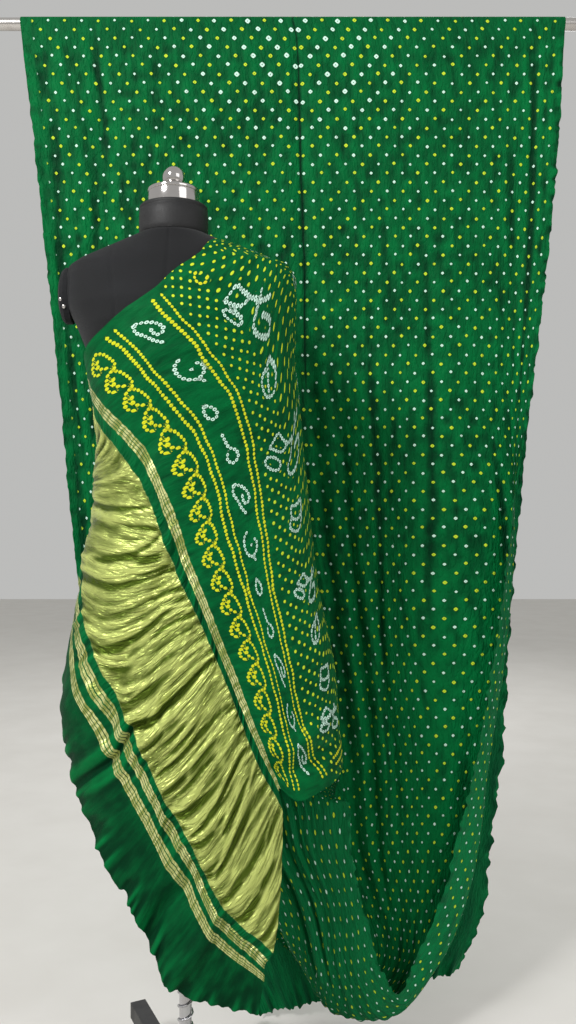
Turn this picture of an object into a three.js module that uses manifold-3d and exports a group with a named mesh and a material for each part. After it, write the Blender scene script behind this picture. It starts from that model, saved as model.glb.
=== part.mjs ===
// A tie-dyed sari hung over a clothes rail, with its end draped on a dress form that stands in front of it.
// Millimetres, +Z up. The origin is the middle of the rail's axis, X runs along the rail, and -Y is the front.
import * as THREE from 'three';
import Module from 'manifold-3d';
import { mergeVertices } from 'three/addons/utils/BufferGeometryUtils.js';

const wasm = await Module();
wasm.setup();

const gap = 0.3; // between pieces that touch
const floorZ = -2070; // the floor, below the rail's axis

// The rail, a plain steel tube, and its end plugs
const railLength = 1290;
const railRadius = 12.5;
const railSides = 40;
const plugLength = 5;

// The cloth, one woven length from its hem on the form to its hem behind the rail
const clothWidth = 1120;
const clothThick = 1.5;
const railWrapSteps = 8; // over the top half of the rail
const railSagitta = 1 - Math.cos(Math.PI / railWrapSteps / 2);
const railWrap = (railRadius + gap + 0.1 + clothThick / 2) / (1 - railSagitta) + 0.1;

// The dress form's axis and heights
const formX = -205;
const formY = -320;
const torsoTop = -539;
const torsoBottom = -1260;
const neckTop = -488;
const neckTopRadius = 57;
const neckFootRadius = 59;
const neckFlatness = 0.93; // its depth as a share of its width
const ringTop = -459;
const ringTopRadius = 43;
const ringFootRadius = 44;
const knobTop = -418;
const knobRadius = 18.5;
const knobFootRadius = 7;
const roundSides = 36; // of the torso, neck and ring
const turnedSides = 24; // of the knob, arm plates, pole and wheels
const poleX = -185;
const poleRadius = 10.5;
const hubTop = -1980;
const hubHeight = 34;
const hubRadius = 38;
const hubTaper = 4;
const hubSides = 32;
const barSide = 30;
const barLength = 245;
const barTurn = 26; // degrees, of the first bar from the Y axis
const bars = 4;
const wheelRadius = 24.5;
const wheelWidth = 30;
const stemRadius = 6;
const stemSides = 16;
const springTop = -1792;
const springRadius = 13;
const springWire = 1.5;
const springTurns = 8;
const springSteps = 10; // a turn

// Half widths and depths of the torso by height, from its axis
const torso = [
  { z: -539, half: 60, front: 57, back: 53 },
  { z: -558, half: 108, front: 66, back: 62 },
  { z: -580, half: 160, front: 78, back: 74 },
  { z: -592, half: 178, front: 84, back: 80 },
  { z: -610, half: 184, front: 92, back: 86 },
  { z: -640, half: 184, front: 106, back: 91 },
  { z: -665, half: 178, front: 120, back: 93 },
  { z: -700, half: 161, front: 133, back: 94 },
  { z: -757, half: 138, front: 133, back: 92 },
  { z: -800, half: 126, front: 120, back: 86 },
  { z: -850, half: 119, front: 102, back: 80 },
  { z: -895, half: 117, front: 96, back: 78 },
  { z: -950, half: 120, front: 97, back: 82 },
  { z: -1050, half: 134, front: 107, back: 99 },
  { z: -1131, half: 147, front: 115, back: 110 },
  { z: -1210, half: 154, front: 118, back: 112 },
  { z: -1245, half: 151, front: 115, back: 109 },
  { z: -1260, half: 138, front: 104, back: 98 },
];

// How far the draped cloth stands from the form's axis by height, to the left, right, front and back
const drapeReach = [
  { z: -550.5, left: 96, right: 96, front: 72, back: 66 },
  { z: -557.5, left: 114, right: 114, front: 76, back: 72 },
  { z: -579.5, left: 166, right: 166, front: 88, back: 84 },
  { z: -589.5, left: 186, right: 197, front: 94, back: 91 },
  { z: -609.5, left: 200, right: 208, front: 102, back: 98 },
  { z: -634, left: 204, right: 210, front: 118, back: 103 },
  { z: -690, left: 186, right: 207, front: 142, back: 106 },
  { z: -757, left: 148, right: 208, front: 146, back: 104 },
  { z: -832, left: 133, right: 217, front: 138, back: 96 },
  { z: -895, left: 128, right: 221, front: 128, back: 92 },
  { z: -993, left: 138, right: 231, front: 126, back: 102 },
  { z: -1131, left: 159, right: 246, front: 130, back: 123 },
  { z: -1252, left: 180, right: 272, front: 132, back: 125 },
  { z: -1378, left: 182, right: 285, front: 128, back: 118 },
  { z: -1500, left: 176, right: 290, front: 118, back: 108 },
  { z: -1700, left: 165, right: 285, front: 100, back: 92 },
  { z: -1900, left: 150, right: 270, front: 85, back: 80 },
];

// Marks across the cloth's width, in millimetres from its left edge, where each section below has a place,
// with the number of cells from the mark before
const marks = [
  { at: 0, cells: 0 },
  { at: 280, cells: 5 },
  { at: 560, cells: 8 },
  { at: 800, cells: 10 },
  { at: 1000, cells: 6 },
  { at: 1120, cells: 6 },
];

// Sections of the draped end, from the hem round the form to its back: at each mark the turn in degrees
// from the front, then the height. steps is the number of rows to the next section.
const draped = [
  { name: 'hem', steps: 2, turn: [-160, -118, -66, -20, 6, 32], z: [-905, -1150, -1435, -1640, -1785, -1815] },
  { name: 'outer band', steps: 1, turn: [-150, -112, -32, -1, 17, 34], z: [-870, -1060, -1375, -1550, -1695, -1765] },
  { name: 'inner band', steps: 1, turn: [-145, -106, -25, 2, 18, 34], z: [-850, -1040, -1345, -1515, -1665, -1740] },
  { name: 'gold foot', steps: 4, turn: [-140, -100, -21, 4, 20, 37], z: [-830, -1000, -1320, -1495, -1645, -1720] },
  { name: 'gold head', steps: 1, turn: [-102, -17, 8, 21, 31, 40], z: [-790, -960, -1135, -1280, -1410, -1485] },
  { name: 'upper band', steps: 2, turn: [-94, -11, 10, 22, 32, 39], z: [-772, -930, -1100, -1250, -1375, -1450] },
  { name: 'curls', steps: 2, turn: [-58, 4, 19, 31, 37, 43], z: [-743, -900, -1080, -1240, -1380, -1465] },
  { name: 'lower line', steps: 2, turn: [-32, 12, 28, 37, 44, 47], z: [-715, -865, -1060, -1230, -1380, -1475] },
  { name: 'upper line', steps: 2, turn: [-5, 31, 41, 45, 51, 65], z: [-660, -825, -1030, -1215, -1365, -1460] },
  { name: 'chest', steps: 2, turn: [8, 49, 63, 67, 70, 88], z: [-610, -780, -990, -1180, -1335, -1440] },
  { name: 'shoulder', steps: 2, turn: [30, 70, 86, 88, 89, 92], z: [-566, -615, -870, -1090, -1300, -1438] },
  { name: 'over the shoulder', steps: 2, turn: [80, 100, 100, 97, 95, 95], z: [-553, -632, -880, -1100, -1310, -1445] },
  { name: 'shoulder blade', steps: 2, turn: [125, 125, 114, 106, 100, 98], z: [-562, -690, -920, -1130, -1330, -1455] },
  { name: 'upper back', steps: 2, turn: [150, 142, 126, 114, 105, 101], z: [-600, -760, -990, -1190, -1370, -1467] },
  { name: 'middle back', steps: 2, turn: [168, 156, 138, 121, 109, 104], z: [-760, -920, -1140, -1300, -1420, -1480] },
  { name: 'waist', steps: 2, turn: [178, 168, 148, 128, 112, 106], z: [-1000, -1140, -1290, -1400, -1468, -1494] },
  { name: 'back of the hip', steps: 2, turn: [180, 172, 152, 132, 114, 108], z: [-1260, -1340, -1420, -1470, -1500, -1508] },
];

// Sections of the near fall, the loop and the front panel, up to the rail: x, y and z at each mark
const hanging = [
  { name: 'under the form', steps: 1, x: [-170, -92, -20, 25, 66, 95], y: [-222, -240, -256, -268, -276, -280],
    z: [-1531, -1528, -1524, -1520, -1516, -1514] },
  { name: 'pleats', steps: 2, x: [-124, -57, -3, 38, 76, 102], y: [-224, -236, -246, -254, -260, -262],
    z: [-1615, -1610, -1606, -1602, -1600, -1600] },
  { name: 'near fall', steps: 2, x: [-58, -6, 39, 76, 106, 125], y: [-205, -212, -218, -222, -224, -224],
    z: [-1722, -1726, -1725, -1724, -1720, -1716] },
  { name: 'near foot', steps: 3, x: [-6, 31, 72, 110, 147, 168], y: [-170, -178, -184, -186, -184, -180],
    z: [-1829, -1866, -1889, -1889, -1880, -1866] },
  { name: 'loop', steps: 3, x: [13, 51, 99, 159, 212, 200], y: [-130, -132, -134, -134, -130, -152],
    z: [-1872, -1940, -1974, -1982, -1962, -1920] },
  { name: 'far foot', steps: 2, x: [-50, 63, 168, 235, 298, 240], y: [-78, -80, -76, -82, -80, -114],
    z: [-1835, -1874, -1891, -1902, -1887, -1868] },
  { name: 'far fall', steps: 2, x: [-117, 24, 151, 254, 343, 284], y: [-50, -52, -50, -60, -56, -96],
    z: [-1788, -1797, -1808, -1814, -1805, -1788] },
  { name: 'knee', steps: 2, x: [-209, -36, 120, 256, 375, 320], y: [-38, -40, -34, -48, -44, -84],
    z: [-1693, -1692, -1694, -1688, -1690, -1675] },
  { name: 'thigh', steps: 2, x: [-321, -118, 104, 257, 401, 361], y: [-32, -34, -28, -40, -36, -74],
    z: [-1512, -1512, -1513, -1509, -1510, -1500] },
  { name: 'hip', steps: 2, x: [-413, -189, 78, 241, 435, 404], y: [-28, -30, -24, -36, -30, -66],
    z: [-1269, -1268, -1269, -1267, -1268, -1263] },
  { name: 'waist high', steps: 2, x: [-451, -230, 47, 238, 446, 437], y: [-26, -28, -22, -32, -26, -58],
    z: [-1024, -1024, -1024, -1024, -1024, -1024] },
  { name: 'chest high', steps: 2, x: [-475, -247, 27, 242, 433, 480], y: [-22, -24, -18, -28, -22, -42],
    z: [-779, -780, -779, -780, -780, -783] },
  { name: 'head high', steps: 1, x: [-505, -251, 23, 249, 437, 520], y: [-20, -22, -18, -24, -20, -28],
    z: [-485, -485, -484, -486, -485, -489] },
  { name: 'upper panel', steps: 2, x: [-528, -261, 15, 250, 442, 541], y: [-18, -20, -16, -20, -18, -22],
    z: [-267, -268, -266, -268, -268, -270] },
  { name: 'below the rail', steps: 1, x: [-555, -278, 8, 246, 446, 556], y: [-15, -15.5, -15, -15.5, -15, -15],
    z: [-41, -41, -41, -41, -41, -41] },
];

// Sections of the back layer from the rail to its hem: the left edge, the right edge and the depth
const behind = [
  { name: 'behind the rail', steps: 1, left: -555, right: 556, y: 15.5, zLeft: -41, zRight: -41 },
  { name: 'upper back layer', steps: 1, left: -530, right: 545, y: 18, zLeft: -253, zRight: -253 },
  { name: 'back layer', steps: 2, left: -476, right: 497, y: 22, zLeft: -774, zRight: -774 },
  { name: 'lower back layer', steps: 1, left: -404, right: 451, y: 22, zLeft: -1276, zRight: -1276 },
  { name: 'plain end', steps: 1, left: -315, right: 437, y: 20, zLeft: -1527, zRight: -1527 },
  { name: 'plain knee', steps: 2, left: -230, right: 412, y: 18, zLeft: -1715, zRight: -1714 },
  { name: 'plain foot', steps: 2, left: -150, right: 392, y: 18, zLeft: -1880, zRight: -1859 },
  { name: 'back hem', steps: 0, left: -70, right: 346, y: 20, zLeft: -2058, zRight: -1971 },
];

// Main folds, as soft ridges (height above 0) or troughs along the cloth's length: the sections that each
// runs between, its place across the width at both, and its half width
const folds = [
  { name: 'gather 1', from: 'far fall', to: 'head high', start: 590, end: 575, height: -11, spread: 13 },
  { name: 'gather 2', from: 'far fall', to: 'chest high', start: 622, end: 606, height: 10, spread: 13 },
  { name: 'gather 3', from: 'far fall', to: 'chest high', start: 655, end: 636, height: -10, spread: 13 },
  { name: 'gather 4', from: 'knee', to: 'waist high', start: 690, end: 668, height: 8, spread: 13 },
  { name: 'gather 5', from: 'knee', to: 'waist high', start: 726, end: 700, height: -7, spread: 14 },
  { name: 'centre crease', from: 'head high', to: 'below the rail', start: 560, end: 560, height: -5, spread: 14 },
  { name: 'left crease', from: 'hip', to: 'below the rail', start: 130, end: 150, height: -6, spread: 30 },
  { name: 'left ridge', from: 'hip', to: 'upper panel', start: 215, end: 228, height: 6, spread: 30 },
  { name: 'right crease', from: 'hip', to: 'upper panel', start: 955, end: 1040, height: -8, spread: 28 },
  { name: 'right ridge', from: 'knee', to: 'head high', start: 870, end: 880, height: 6, spread: 32 },
  { name: 'pleat 1', from: 'back of the hip', to: 'near foot', start: 330, end: 360, height: 12, spread: 18 },
  { name: 'pleat 2', from: 'back of the hip', to: 'near foot', start: 400, end: 450, height: -12, spread: 18 },
  { name: 'pleat 3', from: 'back of the hip', to: 'near foot', start: 480, end: 545, height: 11, spread: 18 },
  { name: 'pleat 4', from: 'back of the hip', to: 'near fall', start: 570, end: 640, height: -10, spread: 16 },
  { name: 'gold crease 1', from: 'gold foot', to: 'curls', start: 330, end: 240, height: -6, spread: 18 },
  { name: 'gold crease 2', from: 'outer band', to: 'upper band', start: 560, end: 470, height: -9, spread: 17 },
  { name: 'gold crease 3', from: 'inner band', to: 'upper band', start: 650, end: 600, height: 7, spread: 16 },
  { name: 'gold crease 4', from: 'outer band', to: 'upper band', start: 800, end: 735, height: -7, spread: 20 },
  { name: 'gold crease 5', from: 'outer band', to: 'gold head', start: 900, end: 860, height: 6, spread: 18 },
  { name: 'hem flute 1', from: 'hem', to: 'gold foot', start: 860, end: 900, height: -16, spread: 26 },
  { name: 'hem flute 2', from: 'hem', to: 'gold foot', start: 960, end: 980, height: 12, spread: 24 },
  { name: 'hem flute 3', from: 'hem', to: 'inner band', start: 480, end: 500, height: 10, spread: 30 },
  { name: 'corner gather 1', from: 'upper band', to: 'chest', start: 1010, end: 1010, height: 9, spread: 16 },
  { name: 'corner gather 2', from: 'upper band', to: 'chest', start: 1060, end: 1055, height: -9, spread: 16 },
  { name: 'back fold 1', from: 'back layer', to: 'back hem', start: 250, end: 300, height: 9, spread: 40 },
  { name: 'back fold 2', from: 'back layer', to: 'back hem', start: 430, end: 470, height: -9, spread: 40 },
  { name: 'back fold 3', from: 'upper back layer', to: 'back hem', start: 700, end: 660, height: 8, spread: 45 },
  { name: 'back fold 4', from: 'back layer', to: 'back hem', start: 900, end: 880, height: -7, spread: 40 },
];

const group = new THREE.Group();

const clothFinish = new THREE.MeshStandardMaterial({ color: '#006a38', roughness: 0.8, metalness: 0 });
const steelFinish = new THREE.MeshStandardMaterial({ color: '#c9c9c6', roughness: 0.18, metalness: 1 });
const jerseyFinish = new THREE.MeshStandardMaterial({ color: '#202123', roughness: 0.85, metalness: 0 });
const baseFinish = new THREE.MeshStandardMaterial({ color: '#121212', roughness: 0.5, metalness: 0.3 });

function addPiece(name, geometry, material, x = 0, y = 0, z = 0) {
  const piece = new THREE.Mesh(geometry, material);
  piece.name = name;
  piece.position.set(x, y, z);
  group.add(piece);
  return piece;
}

// A named value of a table of rows by height, between its two nearest rows
function atHeight(table, z, key) {
  const below = table.findIndex((row) => row.z <= z);
  if (below === 0) return table[0][key];
  if (below < 0) return table[table.length - 1][key];
  const upper = table[below - 1];
  const lower = table[below];
  return THREE.MathUtils.mapLinear(z, upper.z, lower.z, upper[key], lower[key]);
}

// The place of the draped cloth at a turn round the form and a height
function onForm(turn, z) {
  const angle = THREE.MathUtils.degToRad(turn);
  const side = atHeight(drapeReach, z, Math.sin(angle) < 0 ? 'left' : 'right');
  const deep = atHeight(drapeReach, z, Math.cos(angle) > 0 ? 'front' : 'back');
  return new THREE.Vector3(formX + side * Math.sin(angle), formY - deep * Math.cos(angle), z);
}

// Steps across the width, as a mark's index plus a share of the way to the next mark
function widthSteps() {
  const steps = [0];
  for (let k = 1; k < marks.length; k++) {
    for (let i = 1; i <= marks[k].cells; i++) steps.push(k - 1 + i / marks[k].cells);
  }
  return steps;
}

const across = widthSteps();

function distanceAcross(step) {
  const k = Math.min(Math.floor(step), marks.length - 2);
  return THREE.MathUtils.lerp(marks[k].at, marks[k + 1].at, step - k);
}

// A point of a smooth line through places, at an index plus a share
function along(places, step) {
  const line = new THREE.CatmullRomCurve3(places, false, 'centripetal');
  return line.getPoint(step / (places.length - 1));
}

// A section's places become one point at each step across the width
function spreadAcross(places) {
  return across.map((step) => along(places, step));
}

// Rows of the draped end, worked out in turns and heights, so that they keep to the form.
// A turn counts as this many millimetres, for an even spacing.
const turnScale = 2.5;

function drapedRows() {
  const sections = draped.map((s) => spreadAcross(s.turn.map((t, k) => new THREE.Vector3(t * turnScale, s.z[k], 0))));
  const rows = [];
  for (let s = 0; s < draped.length; s++) {
    const steps = s === draped.length - 1 ? 1 : draped[s].steps;
    for (let i = 0; i < steps; i++) {
      const points = across.map((_, c) => {
        const p = along(sections.map((row) => row[c]), s + i / steps);
        return onForm(p.x / turnScale, p.y);
      });
      rows.push({ name: i === 0 ? draped[s].name : '', points });
    }
  }
  return rows;
}

// The back layer's sections are straight from edge to edge
function behindPoints(section) {
  return across.map((step) => {
    const share = distanceAcross(step) / clothWidth;
    const x = THREE.MathUtils.lerp(section.left, section.right, share);
    const z = THREE.MathUtils.lerp(section.zLeft, section.zRight, share);
    return new THREE.Vector3(x, section.y, z);
  });
}

// Rows between sections that are given by their points, from one index of the list to another
function rowsBetween(sections, first, last) {
  const rows = [];
  for (let s = first; s < last; s++) {
    for (let i = 0; i < sections[s].steps; i++) {
      const step = s + i / sections[s].steps;
      const points = across.map((_, c) => along(sections.map((row) => row.points[c]), step));
      rows.push({ name: i === 0 ? sections[s].name : '', points });
    }
  }
  rows.push({ name: sections[last].name, points: sections[last].points });
  return rows;
}

// Over the top of the rail, from front to back
function railRows() {
  const rows = [];
  for (let i = 0; i <= railWrapSteps; i++) {
    const angle = Math.PI * (i / railWrapSteps - 0.5);
    const points = across.map((step) => {
      const x = THREE.MathUtils.lerp(-clothWidth / 2, clothWidth / 2, distanceAcross(step) / clothWidth);
      return new THREE.Vector3(x, railWrap * Math.sin(angle), railWrap * Math.cos(angle));
    });
    rows.push({ name: i === railWrapSteps / 2 ? 'rail' : '', points });
  }
  return rows;
}

function clothRows() {
  const onTheForm = drapedRows();
  const overRail = railRows();
  const last = draped[draped.length - 1];
  const lead = [...onTheForm.slice(-3, -1), { ...onTheForm.at(-1), steps: last.steps }];
  const front = hanging.map((s) => {
    const places = s.x.map((x, k) => new THREE.Vector3(x, s.y[k], s.z[k]));
    return { ...s, points: spreadAcross(places) };
  });
  const back = behind.map((s) => ({ ...s, points: behindPoints(s) }));
  const frontChain = [...lead, ...front, { ...overRail[0], steps: 0 }];
  const backChain = [{ ...overRail[railWrapSteps], steps: 1 }, ...back];
  return [
    ...onTheForm.slice(0, -1),
    ...rowsBetween(frontChain, lead.length - 1, frontChain.length - 1),
    ...overRail.slice(1, -1),
    ...rowsBetween(backChain, 0, backChain.length - 1),
  ];
}

// Directions across and along the cloth, and the one out of its face
function facing(rows, r, c) {
  const u = rows[r].points[Math.min(c + 1, across.length - 1)].clone().sub(rows[r].points[Math.max(c - 1, 0)]);
  const v = rows[Math.min(r + 1, rows.length - 1)].points[c].clone().sub(rows[Math.max(r - 1, 0)].points[c]);
  return u.cross(v).normalize();
}

function foldHeight(rowIndex, rowOf, width) {
  let height = 0;
  for (const fold of folds) {
    const from = rowOf[fold.from];
    const to = rowOf[fold.to];
    const share = (rowIndex - from) / (to - from);
    if (share < 0 || share > 1) continue;
    const place = THREE.MathUtils.lerp(fold.start, fold.end, share);
    const fade = Math.min(1, 1.6 * Math.sin(Math.PI * (0.08 + 0.84 * share)));
    const off = (width - place) / fold.spread;
    height += fold.height * fade * Math.exp(-off * off);
  }
  return height;
}

function foldedRows(rows) {
  const rowOf = Object.fromEntries(rows.map((row, index) => [row.name, index]));
  return rows.map((row, r) => ({
    name: row.name,
    points: row.points.map((point, c) => {
      const height = foldHeight(r, rowOf, distanceAcross(across[c]));
      return height === 0 ? point.clone() : point.clone().addScaledVector(facing(rows, r, c), height);
    }),
  }));
}

// Both faces of a thin box have to split their cells along the same diagonal, or bent cells would cross.
// A face's cell is listed as a, b, d and b, c, d, and the far face is listed as a, b, c and a, c, d instead.
function splitAlike(box) {
  const far = box.groups[box.groups.length - 1];
  const index = box.index;
  for (let i = far.start; i < far.start + far.count; i += 6) {
    const [a, b, c, d] = [index.getX(i), index.getX(i + 1), index.getX(i + 4), index.getX(i + 2)];
    [a, b, c, a, c, d].forEach((corner, k) => index.setX(i + k, corner));
  }
}

// A box of many cells, whose points are moved to the two faces of the cloth
function clothGeometry() {
  const rows = foldedRows(clothRows());
  const cells = across.length - 1;
  const box = new THREE.BoxGeometry(1, 1, 1, cells, rows.length - 1, 1);
  const spots = box.attributes.position;
  for (let i = 0; i < spots.count; i++) {
    const c = Math.round((spots.getX(i) + 0.5) * cells);
    const r = Math.round((spots.getY(i) + 0.5) * (rows.length - 1));
    const face = facing(rows, r, c).multiplyScalar(spots.getZ(i) * clothThick);
    const place = rows[r].points[c].clone().add(face);
    spots.setXYZ(i, place.x, place.y, place.z);
  }
  splitAlike(box);
  box.deleteAttribute('normal');
  box.deleteAttribute('uv');
  return mergeVertices(box);
}

// The torso, a cylinder whose rings take the table's sizes, grown all round where a neighbour is cut by it
function torsoGeometry(grow = 0) {
  const tube = new THREE.CylinderGeometry(1, 1, 1, roundSides, torso.length - 1);
  tube.rotateX(Math.PI / 2);
  const spots = tube.attributes.position;
  for (let i = 0; i < spots.count; i++) {
    const row = torso[Math.round((0.5 - spots.getZ(i)) * (torso.length - 1))];
    const radius = Math.hypot(spots.getX(i), spots.getY(i));
    if (radius < 0.5) {
      spots.setXYZ(i, 0, 0, row.z);
      continue;
    }
    const deep = spots.getY(i) < 0 ? row.front : row.back;
    spots.setXYZ(i, spots.getX(i) * (row.half + grow), spots.getY(i) * (deep + grow), row.z);
  }
  tube.deleteAttribute('normal');
  tube.deleteAttribute('uv');
  return mergeVertices(tube);
}

function toSolid(geometry) {
  const plain = geometry.clone();
  plain.deleteAttribute('normal');
  plain.deleteAttribute('uv');
  const merged = mergeVertices(plain);
  return new wasm.Manifold(new wasm.Mesh({
    numProp: 3,
    vertProperties: new Float32Array(merged.attributes.position.array),
    triVerts: new Uint32Array(merged.index.array),
  }));
}

function toGeometry(solid) {
  const mesh = solid.getMesh();
  const geometry = new THREE.BufferGeometry();
  geometry.setAttribute('position', new THREE.BufferAttribute(mesh.vertProperties, 3));
  geometry.setIndex(new THREE.BufferAttribute(mesh.triVerts, 1));
  return geometry;
}

// An oval domed plate that closes an armhole, cut to sit against the torso
const plateCentreZ = -640;
const plateHalfHeight = 48;
const plateHalfDepth = 34;
const plateRim = 172; // from the form's axis
const plateDome = 22;
const plateOutline = [
  { radius: 0, height: 0 },
  { radius: 1, height: 0 },
  { radius: 1, height: 0.45 },
  { radius: 0.9, height: 0.72 },
  { radius: 0.6, height: 0.93 },
  { radius: 0, height: 1 },
];

function armPlate(side) {
  const outline = plateOutline.map((spot) => new THREE.Vector2(spot.radius, spot.height));
  const plate = new THREE.LatheGeometry(outline, turnedSides);
  plate.rotateZ(-side * Math.PI / 2);
  plate.scale(plateDome, plateHalfHeight, plateHalfDepth);
  plate.rotateX(Math.PI / 2);
  plate.translate(side * plateRim, 0, plateCentreZ);
  return toGeometry(toSolid(plate).subtract(toSolid(torsoGeometry(gap + 0.1))));
}

function upright(geometry) {
  geometry.rotateX(Math.PI / 2);
  return geometry;
}

class Coil extends THREE.Curve {
  getPoint(t, target = new THREE.Vector3()) {
    const angle = 2 * Math.PI * springTurns * t;
    const bottom = hubTop + gap + springWire;
    const z = THREE.MathUtils.lerp(bottom, springTop, t);
    return target.set(springRadius * Math.cos(angle), springRadius * Math.sin(angle), z);
  }
}

function springGeometry() {
  const wire = new THREE.Shape().absarc(0, 0, springWire, 0, 2 * Math.PI);
  const steps = springTurns * springSteps;
  return new THREE.ExtrudeGeometry(wire, { curveSegments: 6, steps, bevelEnabled: false, extrudePath: new Coil() });
}

function makeRail() {
  const tube = new THREE.CylinderGeometry(railRadius, railRadius, railLength, railSides);
  tube.rotateZ(Math.PI / 2);
  addPiece('rail', tube, steelFinish);
  for (const side of [-1, 1]) {
    const plug = new THREE.CylinderGeometry(railRadius, railRadius, plugLength, railSides);
    plug.rotateZ(Math.PI / 2);
    const x = side * (railLength / 2 + gap + plugLength / 2);
    addPiece(side < 0 ? 'rail_plug_left' : 'rail_plug_right', plug, baseFinish, x);
  }
}

function makeForm() {
  addPiece('form_torso', torsoGeometry(), jerseyFinish, formX, formY);
  addPiece('arm_plate_left', armPlate(-1), jerseyFinish, formX, formY);
  addPiece('arm_plate_right', armPlate(1), jerseyFinish, formX, formY);

  const neckHeight = neckTop - torsoTop - gap;
  const neck = upright(new THREE.CylinderGeometry(neckTopRadius, neckFootRadius, neckHeight, roundSides));
  neck.scale(1, neckFlatness, 1);
  addPiece('form_neck', neck, jerseyFinish, formX, formY, torsoTop + gap + neckHeight / 2);

  const ringHeight = ringTop - neckTop - gap;
  const ring = upright(new THREE.CylinderGeometry(ringTopRadius, ringFootRadius, ringHeight, roundSides));
  addPiece('form_ring', ring, steelFinish, formX, formY, neckTop + gap + ringHeight / 2);

  const knobHeight = knobTop - ringTop - gap;
  const footAngle = Math.asin(knobFootRadius / knobRadius);
  const outline = [new THREE.Vector2(0, 0), new THREE.Vector2(knobFootRadius, 0)];
  const knobSteps = 10;
  for (let i = 0; i <= knobSteps; i++) {
    const angle = THREE.MathUtils.lerp(footAngle, Math.PI, i / knobSteps);
    const height = knobHeight - knobRadius * (1 + Math.cos(angle));
    outline.push(new THREE.Vector2(i === knobSteps ? 0 : knobRadius * Math.sin(angle), height));
  }
  const knob = upright(new THREE.LatheGeometry(outline, turnedSides));
  addPiece('form_knob', knob, steelFinish, formX, formY, ringTop + gap);
}

function makeStand() {
  const poleLength = torsoBottom - hubTop - 2 * gap;
  const pole = upright(new THREE.CylinderGeometry(poleRadius, poleRadius, poleLength, turnedSides));
  addPiece('stand_pole', pole, steelFinish, poleX, formY, hubTop + gap + poleLength / 2);
  addPiece('stand_spring', springGeometry(), steelFinish, poleX, formY);
  const hub = upright(new THREE.CylinderGeometry(hubRadius - hubTaper, hubRadius, hubHeight, hubSides));
  addPiece('stand_hub', hub, baseFinish, poleX, formY, hubTop - hubHeight / 2);

  const barZ = hubTop - hubHeight / 2;
  const wheelZ = floorZ + wheelRadius;
  const stemHeight = barZ - barSide / 2 - (wheelZ + wheelRadius) - 2 * gap;
  for (let i = 0; i < bars; i++) {
    const angle = THREE.MathUtils.degToRad(90 + barTurn + i * 360 / bars);
    const away = new THREE.Vector3(Math.cos(angle), Math.sin(angle), 0);
    const middle = away.clone().multiplyScalar(hubRadius + gap + barLength / 2);
    const bar = addPiece(`stand_bar_${i + 1}`, new THREE.BoxGeometry(barLength, barSide, barSide), baseFinish,
      poleX + middle.x, formY + middle.y, barZ);
    bar.rotation.z = angle;
    const end = away.clone().multiplyScalar(hubRadius + gap + barLength - barSide / 2);
    const drum = new THREE.CylinderGeometry(wheelRadius, wheelRadius, wheelWidth, turnedSides);
    const wheel = addPiece(`wheel_${i + 1}`, drum, baseFinish, poleX + end.x, formY + end.y, wheelZ);
    wheel.rotation.z = angle;
    const stem = upright(new THREE.CylinderGeometry(stemRadius, stemRadius, stemHeight, stemSides));
    addPiece(`wheel_stem_${i + 1}`, stem, steelFinish, poleX + end.x, formY + end.y,
      wheelZ + wheelRadius + gap + stemHeight / 2);
  }
}

makeRail();
makeForm();
makeStand();
addPiece('sari_cloth', clothGeometry(), clothFinish);

export default group;
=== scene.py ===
"""The looks of a tie-dyed sari that hangs over a clothes rail and is draped on a dress form.

Metres, +Z up. The origin is the middle of the rail's axis, X runs along the rail, and -Y is the front.
The cloth's tables are in millimetres, as in the part's source, and become metres when its meshes are made.
Places in the cloth are its width, from its left edge, and its length, from the hem on the form.
"""

import logging
import math
from dataclasses import dataclass, field
from enum import Enum

import bpy
import numpy as np
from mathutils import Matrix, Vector
from mathutils.bvhtree import BVHTree


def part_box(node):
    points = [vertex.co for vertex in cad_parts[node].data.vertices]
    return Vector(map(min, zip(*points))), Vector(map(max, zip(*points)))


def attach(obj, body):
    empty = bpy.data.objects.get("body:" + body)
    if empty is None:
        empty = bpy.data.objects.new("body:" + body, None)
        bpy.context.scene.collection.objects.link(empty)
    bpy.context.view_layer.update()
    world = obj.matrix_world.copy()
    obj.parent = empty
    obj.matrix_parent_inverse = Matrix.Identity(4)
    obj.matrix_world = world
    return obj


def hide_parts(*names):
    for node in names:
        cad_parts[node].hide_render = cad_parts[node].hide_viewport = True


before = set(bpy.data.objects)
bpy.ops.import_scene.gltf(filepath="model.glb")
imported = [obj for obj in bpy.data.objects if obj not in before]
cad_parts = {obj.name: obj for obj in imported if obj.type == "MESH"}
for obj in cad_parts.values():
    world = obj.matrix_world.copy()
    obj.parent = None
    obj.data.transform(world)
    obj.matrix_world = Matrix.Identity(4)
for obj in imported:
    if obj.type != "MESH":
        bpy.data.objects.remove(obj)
log = logging.getLogger("sari")

MM = 0.001
FLOOR_Z = -2.070
Array = np.ndarray
Socket = bpy.types.NodeSocket
Sockets = bpy.types.bpy_prop_collection
Points = tuple[tuple[float, float], ...]
Place = tuple[float, float, float]


# The cloth's path


@dataclass(frozen=True)
class FormSection:
    """A section of the draped end: its turn round the form and its height, at each mark across the width."""

    name: str
    steps: int
    at: float
    turn: tuple[float, ...]
    z: tuple[float, ...]


@dataclass(frozen=True)
class HungSection:
    """A section of the near fall, the loop or the front panel: its places at each mark across the width."""

    name: str
    steps: int
    x: tuple[float, ...]
    y: tuple[float, ...]
    z: tuple[float, ...]


@dataclass(frozen=True)
class BackSection:
    """A section of the back layer, straight from its left edge to its right one."""

    name: str
    steps: int
    left: float
    right: float
    y: float
    z_left: float
    z_right: float


@dataclass(frozen=True)
class Fold:
    """A soft ridge, or a trough where the height is negative, that runs from one section to another."""

    first: str
    last: str
    start: float
    end: float
    height: float
    spread: float


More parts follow.
